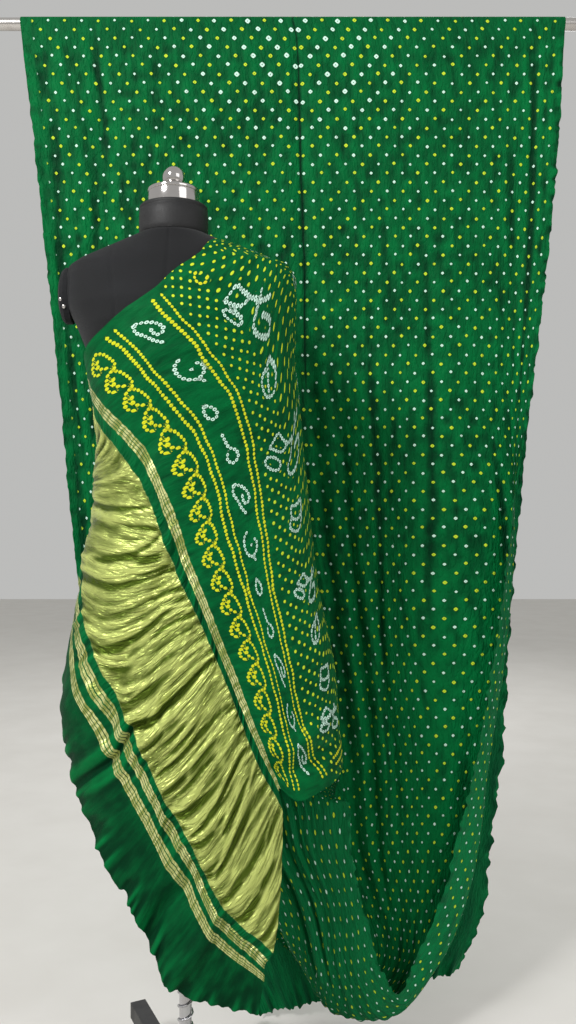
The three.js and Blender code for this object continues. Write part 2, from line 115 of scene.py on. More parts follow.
FORM_AXIS = (-205.0, -320.0)
CLOTH_WIDTH = 1120.0
RAIL_WRAP = 13.85  # the cloth's radius over the rail
RAIL_STEPS = 8
PLEATED = 190.0  # the length that the pleats of the near fall take up, left out of the ties' spacing
TURN_SCALE = 2.5
SLIGHT = 1e-6
MARKS = (0.0, 280.0, 560.0, 800.0, 1000.0, 1120.0)

# Height, then how far the draped cloth stands from the form's axis: to the left, right, front and back
DRAPE_REACH = (
    (-550.5, 96, 96, 72, 66),
    (-557.5, 114, 114, 76, 72),
    (-579.5, 166, 166, 88, 84),
    (-589.5, 186, 197, 94, 91),
    (-609.5, 200, 208, 102, 98),
    (-634, 204, 210, 118, 103),
    (-690, 186, 207, 142, 106),
    (-757, 148, 208, 146, 104),
    (-832, 133, 217, 138, 96),
    (-895, 128, 221, 128, 92),
    (-993, 138, 231, 126, 102),
    (-1131, 159, 246, 130, 123),
    (-1252, 180, 272, 132, 125),
    (-1378, 182, 285, 128, 118),
    (-1500, 176, 290, 118, 108),
    (-1700, 165, 285, 100, 92),
    (-1900, 150, 270, 85, 80),
)

DRAPED = (
    FormSection("hem", 2, 0, (-160, -118, -66, -20, 6, 32), (-905, -1150, -1435, -1640, -1785, -1815)),
    FormSection("outer band", 1, 100, (-150, -112, -32, -1, 17, 34),
                (-870, -1060, -1375, -1550, -1695, -1765)),
    FormSection("inner band", 1, 127, (-145, -106, -25, 2, 18, 34),
                (-850, -1040, -1345, -1515, -1665, -1740)),
    FormSection("gold foot", 4, 145, (-140, -100, -21, 4, 20, 37),
                (-830, -1000, -1320, -1495, -1645, -1720)),
    FormSection("gold head", 1, 345, (-102, -17, 8, 21, 31, 40), (-790, -960, -1135, -1280, -1410, -1485)),
    FormSection("upper band", 2, 370, (-94, -11, 10, 22, 32, 39), (-772, -930, -1100, -1250, -1375, -1450)),
    FormSection("curls", 2, 415, (-58, 4, 19, 31, 37, 43), (-743, -900, -1080, -1240, -1380, -1465)),
    FormSection("lower line", 2, 461, (-32, 12, 28, 37, 44, 47), (-715, -865, -1060, -1230, -1380, -1475)),
    FormSection("upper line", 2, 541, (-5, 31, 41, 45, 51, 65), (-660, -825, -1030, -1215, -1365, -1460)),
    FormSection("chest", 2, 640, (8, 49, 63, 67, 70, 88), (-610, -780, -990, -1180, -1335, -1440)),
    FormSection("shoulder", 2, 720, (30, 70, 86, 88, 89, 92), (-566, -615, -870, -1090, -1300, -1438)),
    FormSection("over the shoulder", 2, 800, (80, 100, 100, 97, 95, 95),
                (-553, -632, -880, -1100, -1310, -1445)),
    FormSection("shoulder blade", 2, 880, (125, 125, 114, 106, 100, 98),
                (-562, -690, -920, -1130, -1330, -1455)),
    FormSection("upper back", 2, 970, (150, 142, 126, 114, 105, 101),
                (-600, -760, -990, -1190, -1370, -1467)),
    FormSection("middle back", 2, 1080, (168, 156, 138, 121, 109, 104),
                (-760, -920, -1140, -1300, -1420, -1480)),
    FormSection("waist", 2, 1200, (178, 168, 148, 128, 112, 106),
                (-1000, -1140, -1290, -1400, -1468, -1494)),
    FormSection("back of the hip", 2, 1320, (180, 172, 152, 132, 114, 108),
                (-1260, -1340, -1420, -1470, -1500, -1508)),
)

HUNG = (
    HungSection("under the form", 1, (-170, -92, -20, 25, 66, 95), (-222, -240, -256, -268, -276, -280),
                (-1531, -1528, -1524, -1520, -1516, -1514)),
    HungSection("pleats", 2, (-124, -57, -3, 38, 76, 102), (-224, -236, -246, -254, -260, -262),
                (-1615, -1610, -1606, -1602, -1600, -1600)),
    HungSection("near fall", 2, (-58, -6, 39, 76, 106, 125), (-205, -212, -218, -222, -224, -224),
                (-1722, -1726, -1725, -1724, -1720, -1716)),
    HungSection("near foot", 3, (-6, 31, 72, 110, 147, 168), (-170, -178, -184, -186, -184, -180),
                (-1829, -1866, -1889, -1889, -1880, -1866)),
    HungSection("loop", 3, (13, 51, 99, 159, 212, 200), (-130, -132, -134, -134, -130, -152),
                (-1872, -1940, -1974, -1982, -1962, -1920)),
    HungSection("far foot", 2, (-50, 63, 168, 235, 298, 240), (-78, -80, -76, -82, -80, -114),
                (-1835, -1874, -1891, -1902, -1887, -1868)),
    HungSection("far fall", 2, (-117, 24, 151, 254, 343, 284), (-50, -52, -50, -60, -56, -96),
                (-1788, -1797, -1808, -1814, -1805, -1788)),
    HungSection("knee", 2, (-209, -36, 120, 256, 375, 320), (-38, -40, -34, -48, -44, -84),
                (-1693, -1692, -1694, -1688, -1690, -1675)),
    HungSection("thigh", 2, (-321, -118, 104, 257, 401, 361), (-32, -34, -28, -40, -36, -74),
                (-1512, -1512, -1513, -1509, -1510, -1500)),
    HungSection("hip", 2, (-413, -189, 78, 241, 435, 404), (-28, -30, -24, -36, -30, -66),
                (-1269, -1268, -1269, -1267, -1268, -1263)),
    HungSection("waist high", 2, (-451, -230, 47, 238, 446, 437), (-26, -28, -22, -32, -26, -58),
                (-1024,) * 6),
    HungSection("chest high", 2, (-475, -247, 27, 242, 433, 480), (-22, -24, -18, -28, -22, -42),
                (-779, -780, -779, -780, -780, -783)),
    HungSection("head high", 1, (-505, -251, 23, 249, 437, 520), (-20, -22, -18, -24, -20, -28),
                (-485, -485, -484, -486, -485, -489)),
    HungSection("upper panel", 2, (-528, -261, 15, 250, 442, 541), (-18, -20, -16, -20, -18, -22),
                (-267, -268, -266, -268, -268, -270)),
    HungSection("below the rail", 1, (-555, -278, 8, 246, 446, 556), (-15, -15.5, -15, -15.5, -15, -15),
                (-41,) * 6),
)

BEHIND = (
    BackSection("behind the rail", 1, -555, 556, 15.5, -41, -41),
    BackSection("upper back layer", 1, -530, 545, 18, -253, -253),
    BackSection("back layer", 2, -476, 497, 22, -774, -774),
    BackSection("lower back layer", 1, -404, 451, 22, -1276, -1276),
    BackSection("plain end", 1, -315, 437, 20, -1527, -1527),
    BackSection("plain knee", 2, -230, 412, 18, -1715, -1714),
    BackSection("plain foot", 2, -150, 392, 18, -1880, -1859),
    BackSection("back hem", 0, -70, 346, 20, -2058, -1971),
)

FOLDS = (
    Fold("far fall", "head high", 590, 575, -11, 13),
    Fold("far fall", "chest high", 622, 606, 10, 13),
    Fold("far fall", "chest high", 655, 636, -10, 13),
    Fold("knee", "waist high", 690, 668, 8, 13),
    Fold("knee", "waist high", 726, 700, -7, 14),
    Fold("head high", "below the rail", 560, 560, -5, 14),
    Fold("hip", "below the rail", 130, 150, -6, 30),
    Fold("hip", "upper panel", 215, 228, 6, 30),
    Fold("hip", "upper panel", 955, 1040, -8, 28),
    Fold("knee", "head high", 870, 880, 6, 32),
    Fold("back of the hip", "near foot", 330, 360, 12, 18),
    Fold("back of the hip", "near foot", 400, 450, -12, 18),
    Fold("back of the hip", "near foot", 480, 545, 11, 18),
    Fold("back of the hip", "near fall", 570, 640, -10, 16),
    Fold("gold foot", "curls", 330, 240, -6, 18),
    Fold("outer band", "upper band", 560, 470, -9, 17),
    Fold("inner band", "upper band", 650, 600, 7, 16),
    Fold("outer band", "upper band", 800, 735, -7, 20),
    Fold("outer band", "gold head", 900, 860, 6, 18),
    Fold("hem", "gold foot", 860, 900, -16, 26),
    Fold("hem", "gold foot", 960, 980, 12, 24),
    Fold("hem", "inner band", 480, 500, 10, 30),
    Fold("upper band", "chest", 1010, 1010, 9, 16),
    Fold("upper band", "chest", 1060, 1055, -9, 16),
    Fold("back layer", "back hem", 250, 300, 9, 40),
    Fold("back layer", "back hem", 430, 470, -9, 40),
    Fold("upper back layer", "back hem", 700, 660, 8, 45),
    Fold("back layer", "back hem", 900, 880, -7, 40),
)


def smooth_line(places: Array, steps: Array) -> Array:
    """Follows smooth lines through places, centripetally spaced as the solids' lines are.

    Args:
        places: The places, the first axis running along the lines.
        steps: Where on the lines, as an index plus a share of the way to the next place.

    Returns:
        A point for each step, the other axes as in places.
    """
    before = (2 * places[0] - places[1])[None]
    after = (2 * places[-1] - places[-2])[None]
    padded = np.concatenate([before, places, after])
    index = np.clip(np.floor(steps).astype(int), 0, len(places) - 2)
    share = (steps - index).reshape((-1,) + (1,) * (places.ndim - 1))
    p0, p1, p2, p3 = (padded[index + k] for k in range(4))
    pairs = ((p0, p1), (p1, p2), (p2, p3))
    gaps = [np.sqrt(np.linalg.norm(b - a, axis=-1, keepdims=True)) for a, b in pairs]
    d1 = np.where(gaps[1] < 1e-4, 1.0, gaps[1])
    d0 = np.where(gaps[0] < 1e-4, d1, gaps[0])
    d2 = np.where(gaps[2] < 1e-4, d1, gaps[2])
    leave = ((p1 - p0) / d0 - (p2 - p0) / (d0 + d1) + (p2 - p1) / d1) * d1
    reach = ((p2 - p1) / d1 - (p3 - p1) / (d1 + d2) + (p3 - p2) / d2) * d1
    square = -3 * p1 + 3 * p2 - 2 * leave - reach
    cube = 2 * p1 - 2 * p2 + leave + reach
    return p1 + (leave + (square + cube * share) * share) * share


def soft_step(low: float, high: float, value: Array) -> Array:
    """Rises smoothly from 0 at low to 1 at high."""
    share = np.clip((value - low) / (high - low), 0, 1)
    return share * share * (3 - 2 * share)


def soft_band(low: float, high: float, edge: float, value: Array) -> Array:
    """Is 1 from low to high and falls to 0 over the edge's width on both sides."""
    return soft_step(low - edge, low, value) * (1 - soft_step(high, high + edge, value))


def ripple(x: Array, y: Array, seed: int) -> Array:
    """Gives smooth noise from -1 to 1 on a lattice of unit cells.

    Args:
        x: Places one way, in cells.
        y: Places the other way, in cells.
        seed: The noise's seed.

    Returns:
        The noise.
    """
    size = 512
    heights = np.random.default_rng(seed).uniform(-1, 1, (size, size))
    cell_x, cell_y = np.floor(x).astype(int), np.floor(y).astype(int)
    ease_x, ease_y = x - cell_x, y - cell_y
    ease_x, ease_y = (e * e * e * (e * (e * 6 - 15) + 10) for e in (ease_x, ease_y))
    corner = [[heights[(cell_x + i) % size, (cell_y + j) % size] for j in (0, 1)] for i in (0, 1)]
    low = corner[0][0] * (1 - ease_y) + corner[0][1] * ease_y
    high = corner[1][0] * (1 - ease_y) + corner[1][1] * ease_y
    return low * (1 - ease_x) + high * ease_x


class ClothPath:
    """Where each place of the cloth is, from its hem on the form to its hem behind the rail."""

    def __init__(self) -> None:
        """Numbers the rows of the sections and measures the cloth's length along them."""
        self.row_of: dict[str, float] = {}
        row = 0
        for section in DRAPED[:-1]:
            self.row_of[section.name] = row
            row += section.steps
        self.first_hung = row
        for section in (DRAPED[-1], *HUNG):
            self.row_of[section.name] = row
            row += section.steps
        self.rail_front = row
        self.rail_back = row + RAIL_STEPS
        self.row_of["rail"] = row + RAIL_STEPS / 2
        row = self.rail_back + 1
        for back in BEHIND:
            self.row_of[back.name] = row
            row += back.steps
        self.last_row = row
        self._measure()

    def _measure(self) -> None:
        """Fills in the length from the hem at each row."""
        fine = 12
        start = self.first_hung
        rows = np.linspace(start, self.last_row, (self.last_row - start) * fine + 1)
        inner = np.linspace(150.0, 950.0, 9)
        runs = np.linalg.norm(np.diff(self.places(rows, inner), axis=0), axis=-1).mean(1)
        lengths = DRAPED[-1].at + np.concatenate([[0.0], np.cumsum(runs)])
        self._rows = np.concatenate([[self.row_of[s.name] for s in DRAPED[:-1]], rows])
        self._lengths = np.concatenate([[s.at for s in DRAPED[:-1]], lengths])
        self.length = float(lengths[-1])

    def rows_at(self, lengths: Array) -> Array:
        """Gives the rows at these lengths from the hem."""
        return np.interp(lengths, self._lengths, self._rows)

    def length_of(self, name: str) -> float:
        """Gives a section's length from the hem."""
        return float(np.interp(self.row_of[name], self._rows, self._lengths))

    def places(self, rows: Array, widths: Array) -> Array:
        """Gives the cloth's points before its folds.

        Args:
            rows: Row numbers, with shares.
            widths: Distances from the cloth's left edge.

        Returns:
            Points in millimetres, an axis for the rows and one for the widths.
        """
        points = np.empty((len(rows), len(widths), 3))
        for part, work in (
            (rows < self.first_hung, self._on_form),
            ((rows >= self.first_hung) & (rows <= self.rail_front), self._hung),
            ((rows > self.rail_front) & (rows < self.rail_back), self._over_rail),
            (rows >= self.rail_back, self._behind),
        ):
            if part.any():
                points[part] = work(rows[part], widths)
        return points

    def _across(self, sections: Array, widths: Array) -> Array:
        """Turns each section's places at the marks into one at each width."""
        steps = np.interp(widths, MARKS, np.arange(len(MARKS)))
        return smooth_line(sections.swapaxes(0, 1), steps).swapaxes(0, 1)

    def _on_form(self, rows: Array, widths: Array) -> Array:
        """The draped end, worked out in turns and heights so that it keeps to the form.

        Args:
            rows: Row numbers, with shares.
            widths: Distances from the cloth's left edge.

        Returns:
            The points.
        """
        marks = np.array([[(t * TURN_SCALE, z, 0.0) for t, z in zip(s.turn, s.z)] for s in DRAPED])
        sections = self._across(marks, widths)
        known = [self.row_of[s.name] for s in DRAPED]
        flat = smooth_line(sections, np.interp(rows, known, np.arange(len(known))))
        angle, z = np.radians(flat[..., 0] / TURN_SCALE), flat[..., 1]
        reach = np.array(DRAPE_REACH)[::-1]
        left, right, front, back = (np.interp(z, reach[:, 0], reach[:, k]) for k in range(1, 5))
        side = np.where(np.sin(angle) < 0, left, right) * np.sin(angle)
        deep = np.where(np.cos(angle) > 0, front, back) * np.cos(angle)
        return np.stack([FORM_AXIS[0] + side, FORM_AXIS[1] - deep, z], -1)

    def _hung(self, rows: Array, widths: Array) -> Array:
        """The near fall, the loop and the front panel, from the form's back to the rail.

        Args:
            rows: Row numbers, with shares.
            widths: Distances from the cloth's left edge.

        Returns:
            The points.
        """
        lead = self.first_hung - np.array([2.0, 1.0, 0.0])
        marks = np.array([np.stack([s.x, s.y, s.z], -1) for s in HUNG], float)
        top = self._over_rail(np.array([float(self.rail_front)]), widths)
        chain = np.concatenate([self._on_form(lead, widths), self._across(marks, widths), top])
        known = [*lead, *[self.row_of[s.name] for s in HUNG], self.rail_front]
        return smooth_line(chain, np.interp(rows, known, np.arange(len(known))))

    def _over_rail(self, rows: Array, widths: Array) -> Array:
        """Over the top of the rail, from front to back.

        Args:
            rows: Row numbers, with shares.
            widths: Distances from the cloth's left edge.

        Returns:
            The points.
        """
        angle = (np.pi * ((rows - self.rail_front) / RAIL_STEPS - 0.5))[:, None]
        x = np.broadcast_to(widths - CLOTH_WIDTH / 2, (len(rows), len(widths)))
        y, z = (np.broadcast_to(RAIL_WRAP * turn(angle), x.shape) for turn in (np.sin, np.cos))
        return np.stack([x, y, z], -1)

    def _behind(self, rows: Array, widths: Array) -> Array:
        """The back layer, from the rail to its hem.

        Args:
            rows: Row numbers, with shares.
            widths: Distances from the cloth's left edge.

        Returns:
            The points.
        """
        share = widths / CLOTH_WIDTH
        sections = [
            np.stack([
                s.left + (s.right - s.left) * share,
                np.full(len(widths), float(s.y)),
                s.z_left + (s.z_right - s.z_left) * share,
            ], -1)
            for s in BEHIND
        ]
        top = self._over_rail(np.array([float(self.rail_back)]), widths)
        known = [self.rail_back, *[self.row_of[s.name] for s in BEHIND]]
        return smooth_line(np.concatenate([top, sections]), np.interp(rows, known, np.arange(len(known))))

    def main_folds(self, rows: Array, widths: Array) -> Array:
        """Adds up the main folds' heights, in millimetres, at each row and width.

        Args:
            rows: Row numbers, with shares.
            widths: Distances from the cloth's left edge.

        Returns:
            The heights.
        """
        height = np.zeros((len(rows), len(widths)))
        for fold in FOLDS:
            first, last = self.row_of[fold.first], self.row_of[fold.last]
            share = (rows - first) / (last - first)
            fade = np.where((share < 0) | (share > 1), 0.0, 1.6 * np.sin(np.pi * (0.08 + 0.84 * share)))
            place = fold.start + (fold.end - fold.start) * share
            off = (widths[None, :] - place[:, None]) / fold.spread
            height += fold.height * np.minimum(1, fade)[:, None] * np.exp(-off * off)
        return height


def facing(points: Array) -> Array:
    """Gives the direction out of the cloth's face at each point of a grid.

    Args:
        points: Points in millimetres, as a grid.

    Returns:
        Directions of length 1.
    """
    across = np.gradient(points, axis=1)
    along = np.gradient(points, axis=0)
    out = np.cross(across, along)
    return out / np.maximum(np.linalg.norm(out, axis=-1, keepdims=True), 1e-9)


# Small wrinkles, in millimetres, by width and length


@dataclass(frozen=True)
class Crease:
    """A sharp fold along a line of widths and lengths, fading to nothing at both ends."""

    line: Points
    height: float
    spread: float


CREASES = (
    Crease(((588, -10), (588, 50), (589, 94), (594, 148), (640, 205), (676, 264), (716, 328)), -11.0, 6.0),
    Crease(((570, -10), (566, 60), (568, 120), (590, 175), (640, 240)), 5.0, 9.0),
    Crease(((606, -10), (612, 60), (618, 130), (668, 220), (712, 300)), 5.0, 8.0),
    Crease(((250, 120), (280, 190), (320, 280), (344, 340)), -4.0, 6.0),
    Crease(((380, 200), (412, 286), (416, 342)), -4.0, 6.0),
    Crease(((700, 150), (745, 215), (800, 300)), -5.0, 6.0),
    Crease(((840, 150), (880, 230), (930, 330)), -5.0, 6.5),
    Crease(((480, 150), (520, 240), (560, 330)), -4.0, 5.0),
    Crease(((930, 150), (955, 240), (985, 340)), 4.0, 7.0),
    Crease(((560, 3960), (560, 3600), (561, 3400), (556, 3180)), -3.2, 4.5),
    Crease(((1052, 3950), (1058, 3700), (1064, 3480), (1060, 3200)), -5.0, 9.0),
    Crease(((150, 3960), (152, 3790), (150, 3600)), -2.6, 8.0),
    Crease(((40, 3700), (30, 3390), (44, 3144), (60, 2900)), -3.0, 7.0),
    Crease(((820, 3500), (840, 3100), (830, 2750)), -2.6, 9.0),
    Crease(((700, 3300), (720, 2900), (700, 2500), (690, 2200)), -3.0, 10.0),
    Crease(((960, 3100), (975, 2800), (960, 2400)), -3.0, 9.0),
)
CREASE_CELL = 12.0  # the straight pieces that a crease is measured by


class NearLine:
    """The part of a grid that lies near a line, and how it lies to the line."""

    def __init__(self, widths: Array, lengths: Array, line: Points, reach: float, cell: float, least: int
                 ) -> None:
        """Measures the grid's points against the line.

        Args:
            widths: The grid's widths, rising.
            lengths: The grid's lengths, rising.
            line: The line's places.
            reach: How far from the line the points are measured.
            cell: The length of the straight pieces that stand for the line.
            least: The least number of them.
        """
        knots = np.array([(u, v, 0.0) for u, v in line])
        self.pieces = max(least, int(np.linalg.norm(np.diff(knots, axis=0), axis=1).sum() / cell))
        self.points = smooth_line(knots, np.linspace(0, len(knots) - 1, self.pieces + 1))[:, :2]
        low, high = self.points.min(0) - reach, self.points.max(0) + reach
        columns = np.nonzero((widths > low[0]) & (widths < high[0]))[0]
        rows = np.nonzero((lengths > low[1]) & (lengths < high[1]))[0]
        self.window = np.ix_(rows, columns)
        spot = np.stack(np.meshgrid(widths[columns], lengths[rows]), -1)
        self.off = np.full(spot.shape[:2], 1e3)
        self.side, self.steps = np.zeros(spot.shape[:2]), np.zeros(spot.shape[:2])
        for k in range(self.pieces):
            step = self.points[k + 1] - self.points[k]
            rel = spot - self.points[k]
            along = np.clip(rel @ step / (step @ step), 0, 1)
            away = np.hypot(*np.moveaxis(rel - along[..., None] * step, -1, 0))
            nearer = away < self.off
            side = (rel[..., 0] * step[1] - rel[..., 1] * step[0]) / np.hypot(*step)
            self.side = np.where(nearer, side, self.side)
            self.steps = np.where(nearer, k + along, self.steps)
            self.off = np.where(nearer, away, self.off)


@dataclass(frozen=True)
class Wave:
    """A layer of smooth noise: its height, the size of its cells across and along, and its seed."""

    height: float
    across: float
    along: float
    seed: int

    def over(self, width: Array, length: Array) -> Array:
        """Gives the layer's heights, in millimetres."""
        return self.height * ripple(width / self.across, length / self.along, self.seed)


def waves(layers: tuple[Wave, ...], width: Array, length: Array) -> Array:
    """Adds up layers of noise."""
    return sum(layer.over(width, length) for layer in layers)


class Wrinkles:
    """The crinkle that the ties leave in the cloth, and the creases of the gold band and the hems."""

    GOLD = (130.0, 352.0)
    END_TIES = (Wave(0.8, 24, 60, 21), Wave(0.5, 14, 16, 22))
    END_SLANT = Wave(1.6, 70, 150, 23)
    PANEL_FINE = (Wave(1.0, 13, 80, 31), Wave(0.7, 21, 120, 32))
    PANEL_WIDE = Wave(1.6, 55, 260, 33)
    PANEL_SIDE = (Wave(1.8, 24, 240, 34), Wave(1.0, 13, 150, 35))
    FALL = (Wave(3.2, 46, 400, 41), Wave(1.4, 20, 180, 42))
    BACK_WIDE = Wave(1.0, 75, 700, 51)
    BACK_FINE = (Wave(1.1, 24, 160, 52), Wave(0.5, 13, 60, 53))
    RUFFLE = (Wave(7.0, 19, 90, 61), Wave(3.0, 8, 60, 63))
    FRILL = (Wave(3.4, 13, 80, 62), Wave(1.6, 6.5, 60, 64))

    def __init__(self, path: ClothPath) -> None:
        """Notes where the cloth's stretches begin and end.

        Args:
            path: The cloth's path.
        """
        self.fan = path.length_of("over the shoulder")
        self.near = path.length_of("back of the hip")
        self.loop = path.length_of("loop")
        self.rail = path.length_of("rail")
        self.end = path.length

    def height(self, width: Array, length: Array) -> Array:
        """Adds up every small wrinkle's height."""
        makers = (self._gold, self._end, self._panel, self._fall, self._back, self._hems, self._creases)
        return sum(make(width, length) for make in makers)

    @staticmethod
    def _creases(width: Array, length: Array) -> Array:
        """The sharp folds that are listed one by one.

        Args:
            width: Distances from the cloth's left edge.
            length: Distances from the hem on the form.

        Returns:
            The heights.
        """
        height = np.zeros(width.shape)
        for crease in CREASES:
            near = NearLine(width[0], length[:, 0], crease.line, 4 * crease.spread, CREASE_CELL, 4)
            share = near.steps / near.pieces
            fade = np.sin(np.pi * np.clip(share, 0.03, 0.97)) ** 0.5
            height[near.window] += crease.height * fade * np.exp(-((near.off / crease.spread) ** 2))
        return height

    @staticmethod
    def across_creases(width: Array, length: Array) -> Array:
        """Gives the distance across the gold band's creases, which fan out from its top, then lie aslant."""
        fan = 1.5 * soft_step(270, 0, width) * (length - 345)
        return width + fan - 0.62 * soft_step(180, 460, width) * (length - 145)

    def edge_sway(self, width: Array, length: Array) -> Array:
        """Gives how far the free side edges wander outward, in the plane of the cloth.

        Args:
            width: Distances from the cloth's left edge.
            length: Distances from the hem on the form.

        Returns:
            The distances.
        """
        off = np.minimum(width, CLOTH_WIDTH - width)
        right = width > CLOTH_WIDTH / 2
        back = length > self.rail
        reach = np.where(right, np.where(back, 5.0, 3.4), 1.8)
        free = soft_band(self.near, self.rail - 250, 120, length)
        free = free + soft_step(self.rail + 500, self.end - 600, length)
        wander = ripple(length / 17, np.where(right, 3.3, 8.7), 81) + 0.5 * ripple(length / 8, width * 0, 82)
        return np.where(right, 1, -1) * free * reach * wander * (1 - soft_step(0, 30, off))

    def hem_sway(self, width: Array, length: Array) -> Array:
        """Gives how far both hems wander, in the plane of the cloth."""
        wander = ripple(width / 21, length * 0 + 5.5, 83) + 0.5 * ripple(width / 9, length * 0, 84)
        return 5.0 * wander * (1 - soft_step(0, 45, np.minimum(length, self.end - length)))

    def _gold(self, width: Array, length: Array) -> Array:
        """Close creases over the gold band.

        Args:
            width: Distances from the cloth's left edge.
            length: Distances from the hem on the form.

        Returns:
            The heights.
        """
        along = self.across_creases(width, length)
        bend = 7 * ripple(width / 120, length / 70, 11)
        sharp = 1 - 2.2 * np.abs(ripple((along + bend) / 20, length / 150, 12)) ** 0.8
        broad = ripple((along + bend) / 40, length / 190, 13)
        fine = 1 - 2 * np.abs(ripple((along + 0.8 * bend) / 10, length / 60, 14))
        patch = 0.65 + 0.35 * ripple(width / 90, length / 60, 15)
        weight = soft_band(*self.GOLD, 40, length) * patch
        return weight * (3.0 * sharp + 2.8 * broad + 1.8 * fine)

    def _end(self, width: Array, length: Array) -> Array:
        """Soft creases over the rest of the draped end.

        Args:
            width: Distances from the cloth's left edge.
            length: Distances from the hem on the form.

        Returns:
            The heights.
        """
        weight = soft_band(0, self.near, 60, length) * (1 - 0.8 * soft_band(*self.GOLD, 40, length))
        slant = width - 0.5 * length
        tied = self.END_TIES[0].over(slant, length) + self.END_TIES[1].over(width, length)
        return weight * (self.END_SLANT.over(slant, length) + tied)

    def _panel(self, width: Array, length: Array) -> Array:
        """The front panel's fine upright crinkle, leaning towards its middle.

        Args:
            width: Distances from the cloth's left edge.
            length: Distances from the hem on the form.

        Returns:
            The heights.
        """
        weight = soft_band(self.loop, self.rail - 100, 60, length)
        lean = np.abs(width - 560) * 0.10 * np.sign(width - 560)
        off = width + lean + 0.10 * (self.rail - length) * np.sign(560 - width)
        fine = waves(self.PANEL_FINE, off, length)
        wide = self.PANEL_WIDE.over(off, length)
        side = soft_step(330, 60, width) + 0.8 * soft_step(880, 1060, width)
        upright = waves(self.PANEL_SIDE, width, length)
        drop = soft_step(self.rail, self.rail - 1400, length)
        tied = 0.9 * ripple(width / 17.1 + 0.3, length / 18.6, 36)
        return weight * (0.8 * fine + tied + wide * (0.5 + drop) + side * upright)

    def _fall(self, width: Array, length: Array) -> Array:
        """Upright folds in the near fall and the loop."""
        weight = soft_band(self.near, self.loop + 120, 90, length)
        return weight * waves(self.FALL, width, length)

    def _back(self, width: Array, length: Array) -> Array:
        """Long soft folds in the back layer, deeper towards its hem.

        Args:
            width: Distances from the cloth's left edge.
            length: Distances from the hem on the form.

        Returns:
            The heights.
        """
        weight = soft_step(self.rail + 40, self.rail + 200, length)
        drop = soft_step(self.rail, self.end, length)
        wide = (1.0 + 4.0 * drop) * self.BACK_WIDE.over(width, length)
        return weight * (wide + waves(self.BACK_FINE, width, length))

    def _hems(self, width: Array, length: Array) -> Array:
        """Ruffles along both hems and the two selvages.

        Args:
            width: Distances from the cloth's left edge.
            length: Distances from the hem on the form.

        Returns:
            The heights.
        """
        hem = (1 - soft_step(0, 60, length)) ** 1.4
        back = soft_step(self.end - 80, self.end, length) ** 1.4
        ruffle = waves(self.RUFFLE, width, length)
        edge = np.minimum(width, CLOTH_WIDTH - width)
        held = soft_band(self.rail - 30, self.rail + 30, 60, length)
        free = soft_band(self.near, self.end, 50, length) * (1 - held)
        right = np.where(width > CLOTH_WIDTH / 2, 1.0, 0.35)
        side = free * right * (1 - soft_step(0, 24, edge)) ** 1.3
        return hem * ruffle + back * ruffle * 1.1 + side * waves(self.FRILL, length, width)


# Motifs tied by hand, in millimetres: each is a few lines that a chain of ties follows


@dataclass(frozen=True)
class Chain:
    """A line of ties in the cloth, by width and length, and its dye."""

    points: Points
    white: bool


CURL: tuple[Points, ...] = (
    ((17, -11), (5, -18), (-12, -13), (-26, 1), (-17, 11), (6, 16), (22, 16), (33, 8)),
    ((20, 5), (13, -2), (4, -6), (-6, -5), (-12, 1)),
)
LEAF: tuple[Points, ...] = (
    ((-44, -12), (-32, 6), (-12, 21), (6, 24), (14, 14), (4, 6), (-12, 6)),
    ((-44, -12), (-26, -18), (-5, -10), (16, -3), (36, 9)),
)
HOOK: tuple[Points, ...] = (
    ((-36, -2), (-27, -16), (-8, -23), (12, -18), (23, -2), (16, 15), (0, 21), (-13, 13)),
    ((23, -2), (37, 8)),
    ((-4, 0), (-1, 2)),
)
DROP: tuple[Points, ...] = (((-20, -4), (-6, 8), (10, 11), (19, 2), (10, -10), (-6, -11), (-20, -4)),)
CANE: tuple[Points, ...] = (
    ((-44, -8), (-26, -6), (-8, -2), (6, 12), (22, 14), (30, 0), (18, -13), (2, -8)),
)
FLOWER: tuple[Points, ...] = (
    ((-32, 2), (-25, 22), (-17, 40), (-8, 31), (0, 20), (-8, 5), (-32, 2)),
    ((0, 20), (13, 13), (12, -6)),
    ((18, 12), (21, 34)),
    ((18, 11), (38, 15)),
    ((12, -6), (7, -20), (10, -34), (25, -39), (38, -35), (41, -22), (31, -12), (22, -9)),
    ((-22, -13), (-34, -21), (-36, -34), (-24, -41), (-12, -34), (-10, -20), (-22, -13)),
)
SPRIG: tuple[Points, ...] = (
    ((0, 34), (-10, 12), (-13, -12), (-4, -33), (9, -14), (10, 10), (0, 34)),
    ((-2, 18), (-2, -4), (-1, -22)),
)
RUNG: tuple[Points, ...] = (
    ((-12, 26), (10, 24), (12, 4), (-10, 2), (-12, 26)),
    ((-10, 2), (-12, -20), (8, -24), (14, -8), (12, 4)),
)
TICK: Points = ((-22, 4), (-12, -8), (4, -10), (12, 2), (2, 12))


